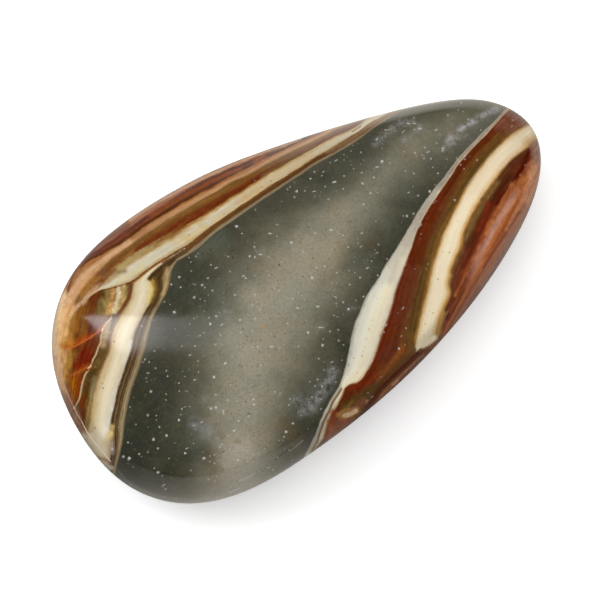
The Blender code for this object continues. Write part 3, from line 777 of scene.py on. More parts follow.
pale = []
pale += spots("129,458.5", 2.0, 0.85)
pale += spots("123.5,456.5 139,454 159.5,427 153.5,439.5 166.5,435.5 154.5,468.5 158,472.5 112.5,449 185,453 "
              "179,420 151,391.5 211,408.5 216,407.5 223,411 214,377 253.5,399.5 254,404.5 239,456 238,460 "
              "204,458 286,432 315,386 293,423.5 254.5,246.5 250.5,256 254.5,257 312,277.5 297.5,308 "
              "308,332.5 220,312 216,316 210.5,324 336,297.5 363.5,296.5 348.5,309 322.5,345 180.5,287 "
              "236.5,226.5 310.5,178.5 297,191 377,139.5 382,161.5 429.5,191 407,216 455,200 399,349", 1.1, 0.75)
pale += spots("174.5,312 443,148.5 291.5,242.5", 1.6, 0.85)
pale += spots("133,467 148,427 162,476 165.5,489 191,470.5 169,458.5 158,448.5 128,442.5 156.5,415.5 156.5,420 "
              "182,409 186,406.5 189.5,406.5 130,407 176,497.5 193.5,426 196,429 149,347.5 147.5,349 "
              "154.5,351 145,359 149,362 143,362 155.5,368 166.5,371 167.5,376 151,380 147,382 134,384.5 "
              "182.5,371.5 197.5,365.5 198,361 198.5,372 179,383 166,394.5 166,400 186,391 179,391 "
              "223.5,414 227.5,400 195,346 200,335.5 220.5,335 239.5,341.5 240,338 241,332.5 232,356.5 "
              "212.5,366.5 230.5,385 229,436 222,444.5 193.5,443.5 251.5,394.5 251.5,385 238.5,421 "
              "242,457 265,448.5 253,455 253.5,462 203,452 210,456 214.5,455 210,461.5 214.5,463.5 "
              "216.5,476.5 208.5,479.5 231,487 218,497.5 275,392 280,393.5 290,399 289,405 284.5,415.5 "
              "284,437 283,440 279,440.5 292,444.5 285,449 289,450 277.5,457.5 273,470 259,471.5 312,397 "
              "309,402 296,404.5 301,415 321,399 320,392 322,387 336,382 321,409", 0.75, 0.5)
pale += spots("242,233.5 254.5,242.5 228,256.5 268.5,257 267,270.5 269.5,275.5 254.5,275.5 208,278 "
              "218.5,278.5 230,271.5 205,287.5 212.5,290.5 200,299 255,294.5 274,288.5 282,262 "
              "303.5,251.5 307.5,242.5 316.5,267.5 305,300 301.5,295.5 292.5,298.5 300,308.5 306,321 "
              "260,309.5 223.5,311.5 240,320 258,347 252.5,347.5 280,347.5 284,345 298.5,346.5 343,235.5 "
              "358,239 358,242.5 348,247 375,250 375,254 374.5,257.5 332,249 324.5,254 329.5,254 "
              "355,257.5 354,261.5 368,260.5 371.5,261 387,259 349,270.5 355,272.5 360,277.5 377.5,275.5 "
              "332,283 336.5,283 332,287.5 334.5,289.5 349.5,284.5 333.5,296 334,315.5 330,331.5 323,339 "
              "343.5,345 333,368.5 324,362 324,370 342,360 170,304.5 195,284.5 171.5,284.5 164.5,302 "
              "191.5,271 189,257.5 198,253.5 197,316.5 175,329 142,326 294.5,182.5 290,187 297,188 "
              "294.5,197 315,196 319.5,195.5 305,191 314.5,172 322,175.5 330,162.5 378.5,137 381,142 "
              "382.5,144 382,148 361,152.5 351,151 344,154.5 337,160 344,160 351,165 353.5,168.5 "
              "360.5,164 363.5,160 390,163 387.5,130 404.5,130.5 402.5,132.5 374,177.5 385.5,176 344,176 "
              "405.5,171 433,149 431,158.5 424,158.5 433,167.5 415,153 414.5,129.5 414,117.5 440,134.5 "
              "448,115 463,111.5 468,119 461,103 481,130 447,159 414,173.5 413,186.5 427.5,187.5 "
              "435,184.5 413.5,213.5 456.5,158", 0.75, 0.48)
pale += spots("436,201 434,203 426,269 415,269 428,264 421,234 384,332 398,313 406,328 401,336 405,345 513,120 "
              "512,126 525,165 520,175 477,160 465,159 461,165 464,169 368,393 381,377 254,178 254.5,180.5", 0.7, 0.42)
for x, y, dx, dy, half, value in (
        (163.5, 485.5, 2, -1, 1.2, 0.9), (187, 448.5, 2, -1, 0.9, 0.7), (181, 414.5, 2, -1, 0.9, 0.7),
        (202, 422, 2, -1, 0.9, 0.7), (148, 373, 2, 0, 0.9, 0.7), (194.5, 380, 2, -1, 0.9, 0.7),
        (225, 363.5, 2, -1.5, 1.2, 0.9), (215.5, 344.5, 2, -1, 0.9, 0.7), (190, 355, 2, -1, 0.9, 0.7),
        (234.5, 430.5, 2, -1, 1.1, 0.9), (249, 416, 2, -1, 0.9, 0.7), (268.5, 467.5, 2, -1, 0.9, 0.7),
        (260.5, 254.5, 2.5, 0, 1.0, 0.75), (216, 268, 2.5, -1, 0.8, 0.7), (243, 276, 2, -1, 0.9, 0.7),
        (235, 295, 2, -1, 0.9, 0.7), (270, 233.5, 2.5, 0, 1.0, 0.8), (318, 306.5, 2.5, 0, 1.0, 0.8),
        (321, 327.5, 4, 0.5, 0.8, 0.8), (252, 305.5, 2, -1, 0.9, 0.7), (222, 324.5, 2, -1, 0.9, 0.7),
        (255, 318.5, 2, -1, 0.9, 0.7), (271.5, 346.5, 2.5, 0, 1.0, 0.8), (331, 230, 2.5, 0, 1.0, 0.8),
        (315, 233, 2, -1, 0.9, 0.7), (362, 233, 2, -1, 0.9, 0.7), (361, 246.5, 2, -1, 0.8, 0.7),
        (367.5, 268, 2, -1, 0.9, 0.7), (332, 362, 2, -1, 0.9, 0.7), (194, 297, 2.5, -1, 0.8, 0.7),
        (314, 191.5, 2.5, -1, 0.8, 0.7), (323, 172, 2, -1, 0.9, 0.7), (377, 167, 2.5, 0, 1.0, 0.75),
        (334, 182, 2.5, -1, 1.2, 0.9), (428, 152, 2, -1, 0.9, 0.7), (419.5, 128.5, 2.5, 0, 1.0, 0.75),
        (414, 123.5, 2.5, 0, 1.0, 0.7), (408.5, 123.5, 2.5, 0, 1.0, 0.7), (436, 130, 2, -1, 0.9, 0.7),
        (408.5, 192.5, 2, -1, 0.9, 0.7), (421, 225, 1.5, -2, 0.8, 0.6), (405, 265, 1.5, -2, 0.8, 0.6),
        (386, 325, 1.5, -2, 1.0, 0.7), (403, 308, 1.5, -2, 0.8, 0.6), (372, 397, 2, -1, 0.9, 0.6)):
    pale.append((((x - dx / 2, y - dy / 2), (x + dx / 2, y + dy / 2)), half * 0.75, value * 0.7))

dark = []
dark += spots("225.5,293.5 233,257.5 232.5,250.5 211,250 207.5,254 279,265 184.5,312 187.5,307.5 183,294 246,402 "
              "368,276 372,275", 0.9, 0.35)
dark += spots("402,254 389,267 395,266 382,283 382,287 377,299 373,326 370,330 365,347 363,351 354,358 349,365 "
              "348,375 357,373", 0.55, 0.9)
dark += spots("476,198.5 473,199 471,212 457,221 449,253 450.5,251.5 442,252 438,279 439,296 433,313 429,311 "
              "425,324 424,331 421,331 424,336", 0.55, 0.8)
dark += spots("243,201 206,223.5 262,187 271,181 189,235 224,214", 0.6, 0.85)
dark += spots("102.5,383.5 103,388 93,407 95,428 114,341.5", 0.9, 0.75)
dark += spots("317,412 293,439 313,421 290,456 283,462", 1.0, 1.0)
dark += spots("263,327 275,301 292,308 313,258 269,403", 1.0, 0.9)
dark += [(((275, 460), (285, 452), (292, 447)), 0.7, 0.2),
         (((305, 438), (310, 435)), 0.7, 0.2),
         (((341.3, 389.3), (338, 394.7), (334, 400), (331.3, 405.3), (328.7, 412), (326, 416.7), (323.3, 422.7),
           (321.3, 428.7), (319.3, 434), (318, 440), (315.3, 444.7), (312, 450)), 1.0, 0.6),
         (((131, 283), (131, 290), (128.5, 299), (123, 307), (117, 316)), 1.6, 0.55),
         (((418, 353), (410, 361), (400, 370), (390, 379), (380, 389), (373.5, 398.5), (367, 408), (360, 420)), 1.7, 0.5),
         (((352, 132), (361, 126)), 0.8, 0.7)]

warm = []
warm += [(((111.7, 313), (111.7, 317), (109.7, 320), (106.3, 322.7), (104.3, 326), (102.3, 330.7), (101, 335.3),
           (101, 339.3), (100.3, 343.3), (98.3, 347.3), (97, 351.3), (95.7, 355.3), (93, 359.3), (91.7, 363.3),
           (90.3, 367.3), (87.7, 371.3), (85, 374.7), (83.7, 378.7), (82, 384), (81, 390), (80, 396), (79, 400),
           (76, 405), (74, 409)), 0.85, 1.0),
         (((65, 348.3), (70.3, 348), (75.7, 346), (81, 342.7), (86.3, 340), (91.7, 336.7), (97, 332.7),
           (101, 329.3), (105, 325.3)), 0.5, 0.35),
         (((69, 377), (73.7, 374), (79.7, 371), (85, 368.7), (90.3, 366)), 0.55, 0.15),
         (((132, 283.5), (140, 277.2), (150, 269.3), (158, 263.8), (166, 259)), 0.8, 0.25),
         (((95, 367),), 0.8, 0.9)]
warm += spots("369,329 371,331.5 366.5,339 373,320 362,356 358,365", 0.8, 0.45)
# Painted glint: these three pale lines follow the ridge of the blunt end's lower edge and stand for its highlight.
warm += [(((60.5, 366), (64, 385), (67.5, 393), (71, 402), (73, 406)), 0.5, 0.56),
         (((73, 406), (77, 414), (82, 422)), 0.5, 0.61),
         (((82, 422), (87, 432), (95, 443), (103, 452), (110.5, 461.5)), 0.55, 0.7),
         (((118.3, 288), (118, 298), (115.5, 307), (112.5, 312)), 1.3, 0.95)]

# Painted glint: these pale lines along the bottom rim carry the ridge's highlight along the bottom.
pale += [(((118, 471), (126, 480), (138, 488), (155, 495), (175, 499), (200, 499.5), (222, 496.5)), 0.6, 0.11),
         (((229, 493), (235, 490), (240, 488)), 0.7, 0.5), (((239, 481), (247, 478), (255, 473)), 0.6, 0.5),
         (((290, 451), (303, 440.5)), 0.5, 0.3)]
pale, dark, warm = marks(pale), marks(dark), marks(warm)

# ---------------------------------------------------------------------------
# Light zone of the grey: a spine with its half widths.
# ---------------------------------------------------------------------------
SPINE = ((500, 106, 20, 0.58), (470, 116, 24, 0.52), (436, 134, 22, 0.60), (416, 147, 22, 0.64), (400, 166, 20, 0.67),
         (375, 190, 22, 0.66), (346, 215, 25, 0.82), (320, 240, 31, 0.90), (300, 270, 42, 0.93), (279, 300, 45, 0.93),
         (266, 330, 47, 0.94), (250, 365, 45, 0.95), (247, 400, 42, 0.92), (243, 430, 39, 0.92), (246, 460, 31, 1.0),
         (238, 482, 36, 0.97), (234, 520, 36, 0.9))
# Base lightness of the grey away from the spine, by height in the drawing; its rise at the bottom edge is the floor's
# reflection on the low side, painted into the colour.
ground = np.interp(flat[:, 1], (150.0, 300.0, 450.0, 472.0, 492.0), (0.25, 0.16, 0.08, 0.09, 0.24))
light = np.full(len(flat), -1.0)
for (x0, y0, w0, p0), (x1, y1, w1, p1) in zip(SPINE[:-1], SPINE[1:]):
    s, d = np.array([x0, y0], float), np.array([x1 - x0, y1 - y0], float)
    u = np.clip(((flat - s) @ d) / (d @ d), 0.0, 1.0)
    dist = np.linalg.norm(flat - s - u[:, None] * d, axis=1)
    fall = np.exp(-0.69 * (dist / (w0 + u * (w1 - w0))) ** 2)
    light = np.maximum(light, ground + (p0 + u * (p1 - p0) - ground) * fall)
light += 0.05 * lump(pts, 3.4, 21) + 0.045 * lump(pts, 1.6, 22) + 0.03 * lump(pts, 0.8, 23)

# Thin soft pale streaks laid along lines in the grey: (points, radius, strength)
VEILS = (
    (((448, 141), (454, 134.5), (462, 128.5), (470, 123), (478, 118.5), (486, 114), (496, 109.5)), 3.8, 1.0),
    (((443, 149), (449, 144.5), (457, 139.5), (464, 135)), 3.8, 0.65),
    (((376, 143), (386, 134), (396, 127), (408, 122)), 5.0, 0.5),
    (((404, 140), (420, 127)), 4.5, 0.4),
    (((400, 123), (412, 122)), 5.0, 0.5),
    (((296, 401), (302, 408), (312, 405), (322, 392), (333, 372)), 8.0, 0.55),
    (((300, 412), (312, 408)), 6.0, 0.55),
    (((196, 424), (206, 430), (216, 436)), 10.0, 0.35),
    (((255, 254), (262, 252)), 6.0, 0.2),
    (((220, 316), (228, 312)), 6.0, 0.3),
    (((318, 328), (324, 326)), 6.0, 0.2),
    (((350, 309), (356, 306)), 5.0, 0.18),
    (((216, 408), (206, 398)), 6.0, 0.3),
    (((372, 252), (366, 262)), 5.0, 0.15),
)
veil = np.zeros(len(flat))
for points, radius, strength in VEILS:
    far = np.linalg.norm(reach_of(points, radius), axis=1)
    veil = np.maximum(veil, strength * np.exp(-1.6 * far * far))
cool = 0.6 * lump(pts, 5.0, 24) + 0.4 * lump(pts, 2.2, 25)

# ---------------------------------------------------------------------------
# The mesh
# ---------------------------------------------------------------------------
mesh = bpy.data.meshes.new("polished_stone")
mesh.vertices.add(len(pts))
mesh.vertices.foreach_set("co", (pts * 0.001).ravel())
mesh.loops.add(len(tris) * 3)
mesh.loops.foreach_set("vertex_index", tris.ravel())
mesh.polygons.add(len(tris))
mesh.polygons.foreach_set("loop_start", np.arange(len(tris)) * 3)
mesh.polygons.foreach_set("loop_total", np.full(len(tris), 3))
mesh.update(calc_edges=True)
mesh.validate()
mesh.polygons.foreach_set("use_smooth", np.ones(len(tris), bool))
stone = bpy.data.objects.new("polished_stone", mesh)
scene.collection.objects.link(stone)

# Two charts: the face and sides above the girth, and the underside below it.
half_long, half_wide = 0.5 * (box_hi[0] - box_lo[0]), 0.5 * (box_hi[1] - box_lo[1])
bearing = np.arctan2(pts[:, 1] / half_wide, pts[:, 0] / half_long)
bearing[[crown_id, foot_id]] = 0.0
top_r = np.clip(reach / girth, 0.0, 1.0)
low_r = np.clip((total - reach) / (total - girth), 0.0, 1.0)
top_uv = np.stack([0.5 + 0.492 * top_r * np.cos(bearing), 0.305 + 0.295 * top_r * np.sin(bearing)], 1)
low_uv = np.stack([0.5 + 0.492 * low_r * np.cos(bearing), 0.805 + 0.187 * low_r * np.sin(bearing)], 1)
corner = tris.ravel()
low_corner = np.repeat(under, 3)
uv = np.where(low_corner[:, None], low_uv[corner], top_uv[corner])
layer = mesh.uv_layers.new(name="OFBake")
layer.data.foreach_set("uv", uv.ravel())


def vector_field(name, x, y, z):
    at = mesh.attributes.new(name, "FLOAT_VECTOR", "POINT")
    at.data.foreach_set("vector", np.stack([x, y, z], 1).astype(np.float32).ravel())


def colour_field(name, data):
    at = mesh.attributes.new(name, "FLOAT_COLOR", "POINT")
    at.data.foreach_set("color", data.astype(np.float32).ravel())


vector_field("layers_upper", cU, sU, dPart)
vector_field("layers_lower", cW, sW, d9)
vector_field("layers_right", cR, sR, dr0)
vector_field("grey_zones", light, cool, veil)

vector_field("lamination", deep["U"], deep["W"], deep["R"])
colour_field("patches", np.concatenate([tint, cover[:, None]], 1))
colour_field("marks_pale_and_glint", pale)
colour_field("marks_dark", dark)
colour_field("marks_warm_and_glint", warm)

# ---------------------------------------------------------------------------
# Material
# ---------------------------------------------------------------------------
mat = bpy.data.materials.new("polished_jasper_bands")
mat.use_nodes = True
nt = mat.node_tree
nt.nodes.clear()
out = nt.nodes.new("ShaderNodeOutputMaterial")
bsdf = nt.nodes.new("ShaderNodeBsdfPrincipled")
nt.links.new(bsdf.outputs[0], out.inputs[0])


def put(socket, value):
    if isinstance(value, bpy.types.NodeSocket):
        nt.links.new(value, socket)
    else:
        if socket.type == "RGBA" and len(value) == 3:
            value = (*value, 1.0)
        socket.default_value = value


def calc(op, a, b=None, c=None, clamp=False):
    n = nt.nodes.new("ShaderNodeMath")
    n.operation = op
    n.use_clamp = clamp
    put(n.inputs[0], a)
    if b is not None:
        put(n.inputs[1], b)
    if c is not None:
        put(n.inputs[2], c)
    return n.outputs[0]


def step_of(x, a, b, low=0.0, high=1.0, kind="SMOOTHSTEP"):
    n = nt.nodes.new("ShaderNodeMapRange")
    n.interpolation_type = kind
    for s, v in zip(n.inputs[:5], (x, a, b, low, high)):
        put(s, v)
    return n.outputs[0]


def blend(fac, a, b, mode="MIX"):
    n = nt.nodes.new("ShaderNodeMix")
    n.data_type = "RGBA"
    n.blend_type = mode
    put(n.inputs[0], fac)
    put(n.inputs[6], a)
    put(n.inputs[7], b)
    return n.outputs[2]


def attribute(name):
    n = nt.nodes.new("ShaderNodeAttribute")
    n.attribute_name = name
    return n


def split(name):
    n = nt.nodes.new("ShaderNodeSeparateXYZ")
    nt.links.new(attribute(name).outputs["Vector"], n.inputs[0])
    return n.outputs


def join(x, y, z=0.0):
    n = nt.nodes.new("ShaderNodeCombineXYZ")
    for s, v in zip(n.inputs, (x, y, z)):
        put(s, v)
    return n.outputs[0]


def noise(vector, scale, detail=3.0, rough=0.5, warp=0.0):
    n = nt.nodes.new("ShaderNodeTexNoise")
    put(n.inputs["Vector"], vector)
    n.inputs["Scale"].default_value = scale
    n.inputs["Detail"].default_value = detail
    n.inputs["Roughness"].default_value = rough
    n.inputs["Distortion"].default_value = warp
    return n.outputs["Fac"]


def ramp(fac, stops, mode="LINEAR"):
    """stops are (place, colour, how much its streaks show)."""
    n = nt.nodes.new("ShaderNodeValToRGB")
    cr = n.color_ramp
    cr.interpolation = mode
    while len(cr.elements) < len(stops):
        cr.elements.new(0.5)
    for e, (place, colour, streak) in zip(cr.elements, stops):
        e.position = place
    for e, (place, colour, streak) in zip(cr.elements, stops):
        e.color = (*tone(colour), streak)
    put(n.inputs[0], fac)
    return n.outputs[0], n.outputs[1]


place = nt.nodes.new("ShaderNodeTexCoord").outputs["Object"]


patch = attribute("patches")
fine = noise(place, 1500.0, 4.0, 0.65)
fray = step_of(fine, 0.30, 0.70, 0.80, 1.12, "LINEAR")
patch_on = calc("MULTIPLY", patch.outputs["Alpha"], fray, clamp=True)


stack = split("lamination")


def family(field, stops, top, fold, frost, seed, waver, beyond=None):
    """Colour of one family of layers, with fine lamination inside each layer.
    beyond gives the layers past its end: (last coordinate, direction, span, stops)."""
    c, s, d = split(field)
    long_wave = noise(join(calc("MULTIPLY", c, 0.45), calc("MULTIPLY", s, 0.03), seed), 1.0, 4.0, 0.6)
    c2 = calc("MULTIPLY_ADD", calc("SUBTRACT", long_wave, 0.5), waver, c)
    torn = noise(join(calc("MULTIPLY", stack[fold], 0.42), calc("MULTIPLY", s, 0.085), seed + 9.0), 1.0, 4.0, 0.7)
    c2 = calc("MULTIPLY_ADD", calc("SUBTRACT", torn, 0.5), frost, c2)
    rgb, streak = ramp(calc("DIVIDE", c2, top), [(p / top, col, k) for p, col, k in stops])
    if beyond:
        last, way, span, more = beyond
        past = calc("DIVIDE", calc("MULTIPLY", calc("SUBTRACT", c2, last), way), span)
        past_rgb, past_streak = ramp(past, more)
        past_on = step_of(past, 0.0, 0.02)
        rgb = blend(past_on, rgb, past_rgb)
        streak = calc("MULTIPLY_ADD", calc("SUBTRACT", past_streak, streak), past_on, streak)
    rgb = blend(patch_on, rgb, patch.outputs["Color"])
    lam = noise(join(calc("MULTIPLY", stack[fold], 0.23), calc("MULTIPLY", s, 0.009), seed + 3.0), 1.0, 5.0, 0.72)
    lam = calc("MULTIPLY_ADD", calc("SUBTRACT", torn, 0.5), 0.30, lam)
    lam = calc("MULTIPLY_ADD", calc("SUBTRACT", fine, 0.5), 0.45, lam)
    n = nt.nodes.new("ShaderNodeValToRGB")
    cr = n.color_ramp
    cr.elements.new(0.5)
    for e, (at, col) in zip(cr.elements, ((0.26, (0.42, 0.32, 0.26)), (0.50, (1.0, 1.0, 1.0)), (0.74, (1.7, 1.95, 2.0)))):
        e.position = at
        e.color = (*col, 1.0)
    put(n.inputs[0], lam)
    shade = blend(streak, (1.0, 1.0, 1.0), n.outputs[0])
    return blend(1.0, rgb, shade, "MULTIPLY"), d, c2


col_u, d_part, _ = family("layers_upper", (
    (0.00, (150, 96, 68), 0.3), (0.85, (172, 112, 78), 0.4), (1.00, (168, 106, 74), 0.4),
    (1.10, PLUM, 0.5), (1.38, (98, 52, 40), 0.5), (1.52, (138, 68, 34), 0.5), (1.66, (92, 50, 26), 0.5),
    (1.93, (84, 48, 26), 0.4), (2.06, (160, 100, 50), 0.4), (2.30, (168, 114, 68), 0.35),
    (2.55, (192, 144, 106), 0.3), (2.85, (176, 128, 84), 0.4), (3.02, (120, 86, 44), 0.5),
    (3.30, (122, 82, 40), 0.6), (3.85, (116, 74, 32), 0.6), (4.08, (118, 58, 26), 0.8), (4.60, (101, 42, 14), 0.8),
    (4.90, (105, 48, 18), 0.5), (5.02, (146, 98, 50), 0.45), (5.14, (180, 146, 92), 0.35), (5.28, (202, 182, 142), 0.25), (5.46, (202, 192, 169), 0.2),
    (5.80, (199, 188, 160), 0.2), (5.95, (190, 160, 112), 0.3), (6.06, (108, 72, 36), 0.5),
    (6.40, (96, 62, 31), 0.6), (6.85, (92, 59, 30), 0.5), (7.05, (114, 90, 60), 0.4), (7.25, (138, 115, 85), 0.4),
    (7.75, (136, 120, 94), 0.4), (8.02, (102, 97, 76), 0.3), (9.00, SLATE, 0.2)), 9.0, 0, 0.50, 1.0, 0.10,
    (-0.45, -1.0, 5.0, (
        (0.00, (150, 96, 68), 0.4), (0.07, (118, 66, 42), 0.6), (0.13, (94, 44, 26), 0.7), (0.22, (132, 78, 42), 0.7),
        (0.31, (186, 136, 90), 0.5), (0.40, (198, 156, 108), 0.4), (0.46, (160, 108, 62), 0.6), (0.52, (104, 56, 28), 0.7),
        (0.60, (86, 38, 20), 0.7), (0.72, (128, 66, 36), 0.7), (0.86, (172, 116, 74), 0.6), (1.00, (142, 90, 58), 0.6))))
col_w, d_grey, c_w = family("layers_lower", (
    (0.00, (120, 78, 34), 0.7), (0.15, (100, 56, 18), 0.8), (0.80, (104, 48, 16), 0.8), (0.97, (92, 50, 18), 0.7),
    (1.10, (104, 72, 36), 0.9), (1.45, (98, 74, 38), 1.0), (1.75, (108, 80, 42), 0.9), (1.92, (126, 92, 50), 0.6),
    (2.02, (162, 132, 86), 0.2), (2.12, (196, 171, 124), 0.15), (2.26, (208, 190, 152), 0.12), (2.46, (221, 207, 175), 0.1), (2.62, (223, 210, 178), 0.1),
    (2.80, (212, 197, 164), 0.12), (2.93, (190, 168, 132), 0.2), (3.00, (128, 102, 70), 0.3), (3.06, (72, 50, 26), 0.5), (3.14, (56, 37, 16), 0.5), (3.19, (96, 74, 46), 0.4), (3.23, (74, 50, 24), 0.5), (3.29, (116, 96, 66), 0.3),
    (3.33, (92, 70, 40), 0.4), (3.40, (58, 40, 18), 0.5), (3.49, (104, 82, 52), 0.5), (3.55, (76, 54, 28), 0.5), (3.63, (136, 116, 82), 0.4),
    (3.71, (122, 100, 70), 0.4), (3.79, (158, 139, 106), 0.4),
    (3.88, (134, 117, 86), 0.4), (4.00, (96, 87, 65), 0.3), (4.50, SLATE, 0.2)), 5.0, 1, 0.26, 7.0, 0.05)
col_r, d_right, _ = family("layers_right", (
    (0.00, (148, 140, 122), 0.2), (0.12, (204, 200, 184), 0.12), (0.35, (238, 231, 208), 0.08),
    (0.60, (242, 230, 196), 0.08), (0.85, (242, 230, 200), 0.1), (0.96, (214, 180, 132), 0.25),
    (1.02, (110, 44, 18), 0.5), (1.10, (98, 36, 10), 0.5), (1.22, (102, 38, 13), 0.6), (1.45, (102, 51, 25), 0.6), (1.58, (107, 60, 32), 0.65),
    (1.72, (104, 70, 36), 0.7), (1.90, (108, 73, 34), 0.6), (1.98, (134, 93, 42), 0.4), (2.05, (180, 138, 78), 0.3),
    (2.12, (220, 188, 138), 0.2), (2.22, (242, 222, 186), 0.12), (2.45, (250, 234, 200), 0.1), (2.70, (250, 232, 196), 0.1), (2.88, (226, 186, 122), 0.2),
    (2.98, (178, 122, 62), 0.3), (3.05, (112, 78, 48), 0.5), (3.16, (107, 56, 34), 0.6), (3.35, (111, 49, 27), 0.7),
    (3.60, (148, 72, 34), 0.8), (3.85, (178, 98, 48), 0.7), (4.05, (156, 84, 48), 0.6),
    # The stops at 4.40 and 5.00, past the last boundary, are the mauve of the grazing side: partly the stone's colour,
    # partly painted reflection.
    (4.40, (184, 122, 90), 0.5), (5.00, (158, 110, 94), 0.5)), 5.0, 2, 0.20, 13.0, 0.04,
    (5.2, 1.0, 5.0, (
        (0.00, (158, 110, 94), 0.5), (0.09, (140, 84, 58), 0.6), (0.17, (112, 56, 32), 0.7), (0.26, (98, 44, 24), 0.8),
        (0.36, (140, 80, 46), 0.7), (0.46, (184, 134, 94), 0.5), (0.53, (198, 156, 116), 0.4), (0.60, (164, 112, 74), 0.6),
        (0.70, (120, 66, 38), 0.8), (0.82, (100, 50, 30), 0.8), (1.00, (150, 98, 64), 0.6))))

# Grey middle
zone_l, zone_c, veil_z = split("grey_zones")
mottle = noise(place, 260.0, 5.0, 0.6)
grain = noise(place, 3400.0, 3.0, 0.7)
lit = calc("ADD", zone_l, calc("MULTIPLY", calc("SUBTRACT", mottle, 0.5), 0.20))
lit = calc("MULTIPLY_ADD", calc("SUBTRACT", fine, 0.5), 0.12, lit)
grey, _ = ramp(lit, ((0.08, (54, 54, 43), 1), (0.20, (66, 65, 53), 1), (0.30, (77, 76, 63), 1), (0.44, (93, 91, 77), 1),
                     (0.58, (112, 108, 92), 1), (0.76, (134, 128, 110), 1), (0.96, (151, 144, 125), 1)))
warmth = step_of(calc("ADD", zone_c, calc("SUBTRACT", noise(place, 420.0, 3.0, 0.5), 0.5)), -0.5, 0.5)
grey = blend(1.0, grey, blend(warmth, (0.955, 1.0, 1.02), (1.035, 1.0, 0.955)), "MULTIPLY")
grey = blend(patch_on, grey, patch.outputs["Color"])
speckle = calc("MULTIPLY_ADD", calc("SUBTRACT", grain, 0.5), 0.75, 1.0)
grey = blend(1.0, grey, join(speckle, speckle, speckle), "MULTIPLY")
flakes = noise(place, 1900.0, 3.0, 0.6)
grey = blend(step_of(flakes, 0.60, 0.70, 0.0, 0.5), grey, blend(step_of(zone_l, 0.2, 0.8), tone((104, 88, 54)), tone((104, 86, 60))))
grey = blend(step_of(flakes, 0.40, 0.31, 0.0, 0.4), grey, blend(step_of(zone_l, 0.2, 0.8), tone((44, 44, 34)), tone((112, 106, 88))))
frosted = step_of(noise(place, 1000.0, 6.0, 0.75), 0.36, 0.66)
grey = blend(calc("MULTIPLY", veil_z, frosted, clamp=True), grey, tone((172, 170, 170)))

col = blend(step_of(d_part, -0.5, 0.5), col_u, col_w)
edge = calc("MULTIPLY_ADD", calc("SUBTRACT", fine, 0.5), 2.2, 0.0)
col = blend(step_of(calc("ADD", d_grey, edge), -0.6, 0.6), col, grey)
col = blend(step_of(calc("ADD", d_right, edge), -0.6, 0.6), col, col_r)



def stamp(name, hard, soft, ragged_by=1.3):
    at = attribute(name)
    n = nt.nodes.new("ShaderNodeVectorMath")
    n.operation = "LENGTH"
    nt.links.new(at.outputs["Vector"], n.inputs[0])
    rough_edge = calc("MULTIPLY_ADD", calc("SUBTRACT", grain, 0.5), ragged_by, n.outputs["Value"])
    return step_of(rough_edge, hard, soft, 1.0, 0.0), at.outputs["Alpha"]


on, which = stamp("marks_dark", 0.6, 1.35)
dark_rgb, dark_a = ramp(which, ((0.20, (50, 44, 30), 0.7), (0.35, (58, 54, 40), 0.7), (0.50, (88, 28, 8), 0.85),
                                (0.60, (118, 78, 44), 0.85), (0.75, (136, 100, 62), 0.75), (0.90, (124, 104, 72), 0.5), (1.0, (178, 148, 70), 0.6)))
col = blend(calc("MULTIPLY", on, dark_a), col, dark_rgb)
on, which = stamp("marks_warm_and_glint", 0.6, 1.35)
# Warm marks: stops 0.52 to 0.75 are the painted ridge glint, the others mineral lines and spots.
warm_rgb, warm_a = ramp(which, ((0.15, (170, 84, 18), 0.7), (0.25, (146, 96, 46), 0.8), (0.35, (200, 106, 50), 0.75), (0.45, (200, 160, 80), 0.7), (0.52, (240, 196, 156), 0.45), (0.57, (240, 196, 156), 0.45), (0.61, (246, 214, 184), 0.6), (0.65, (255, 240, 220), 0.75), (0.75, (255, 240, 220), 0.75),
                                (0.90, (206, 196, 168), 0.8), (1.0, (192, 166, 126), 0.85)))
col = blend(calc("MULTIPLY", on, warm_a), col, warm_rgb)
# Pale specks and lines; the lines along the bottom rim are painted glint.
on, which = stamp("marks_pale_and_glint", 0.2, 1.5, 3.2)
col = blend(calc("MULTIPLY", on, which, clamp=True), col, tone((218, 215, 208)))

# Fine dust of tiny pale and dark grains through the grey.
vor = nt.nodes.new("ShaderNodeTexVoronoi")
put(vor.inputs["Vector"], place)
vor.inputs["Scale"].default_value = 1250.0
sep = nt.nodes.new("ShaderNodeSeparateColor")
nt.links.new(vor.outputs["Color"], sep.inputs[0])
size = step_of(sep.outputs[0], 0.50, 1.0, 0.03, 0.23, "LINEAR")
dust = step_of(calc("SUBTRACT", size, vor.outputs["Distance"]), -0.03, 0.08)
only_grey = calc("MULTIPLY", step_of(d_grey, 0.0, 3.0), step_of(d_right, -3.0, 0.0, 1.0, 0.0))
dust = calc("MULTIPLY", dust, step_of(only_grey, 0.0, 1.0, 0.12, 1.0, "LINEAR"))
dust = calc("MULTIPLY", dust, step_of(sep.outputs[1], 0.0, 1.0, 0.2, 0.85, "LINEAR"))
col = blend(dust, col, tone((178, 176, 162)))
pepper_size = step_of(sep.outputs[0], 0.0, 0.42, 0.19, 0.03, "LINEAR")
pepper = step_of(calc("SUBTRACT", pepper_size, vor.outputs["Distance"]), -0.02, 0.07)
pepper = calc("MULTIPLY", pepper, calc("MULTIPLY", only_grey, step_of(sep.outputs[2], 0.0, 1.0, 0.2, 0.75, "LINEAR")))
col = blend(pepper, col, blend(step_of(zone_l, 0.2, 0.8), tone((40, 38, 28)), tone((96, 84, 60))))
nt.links.new(col, bsdf.inputs["Base Color"])

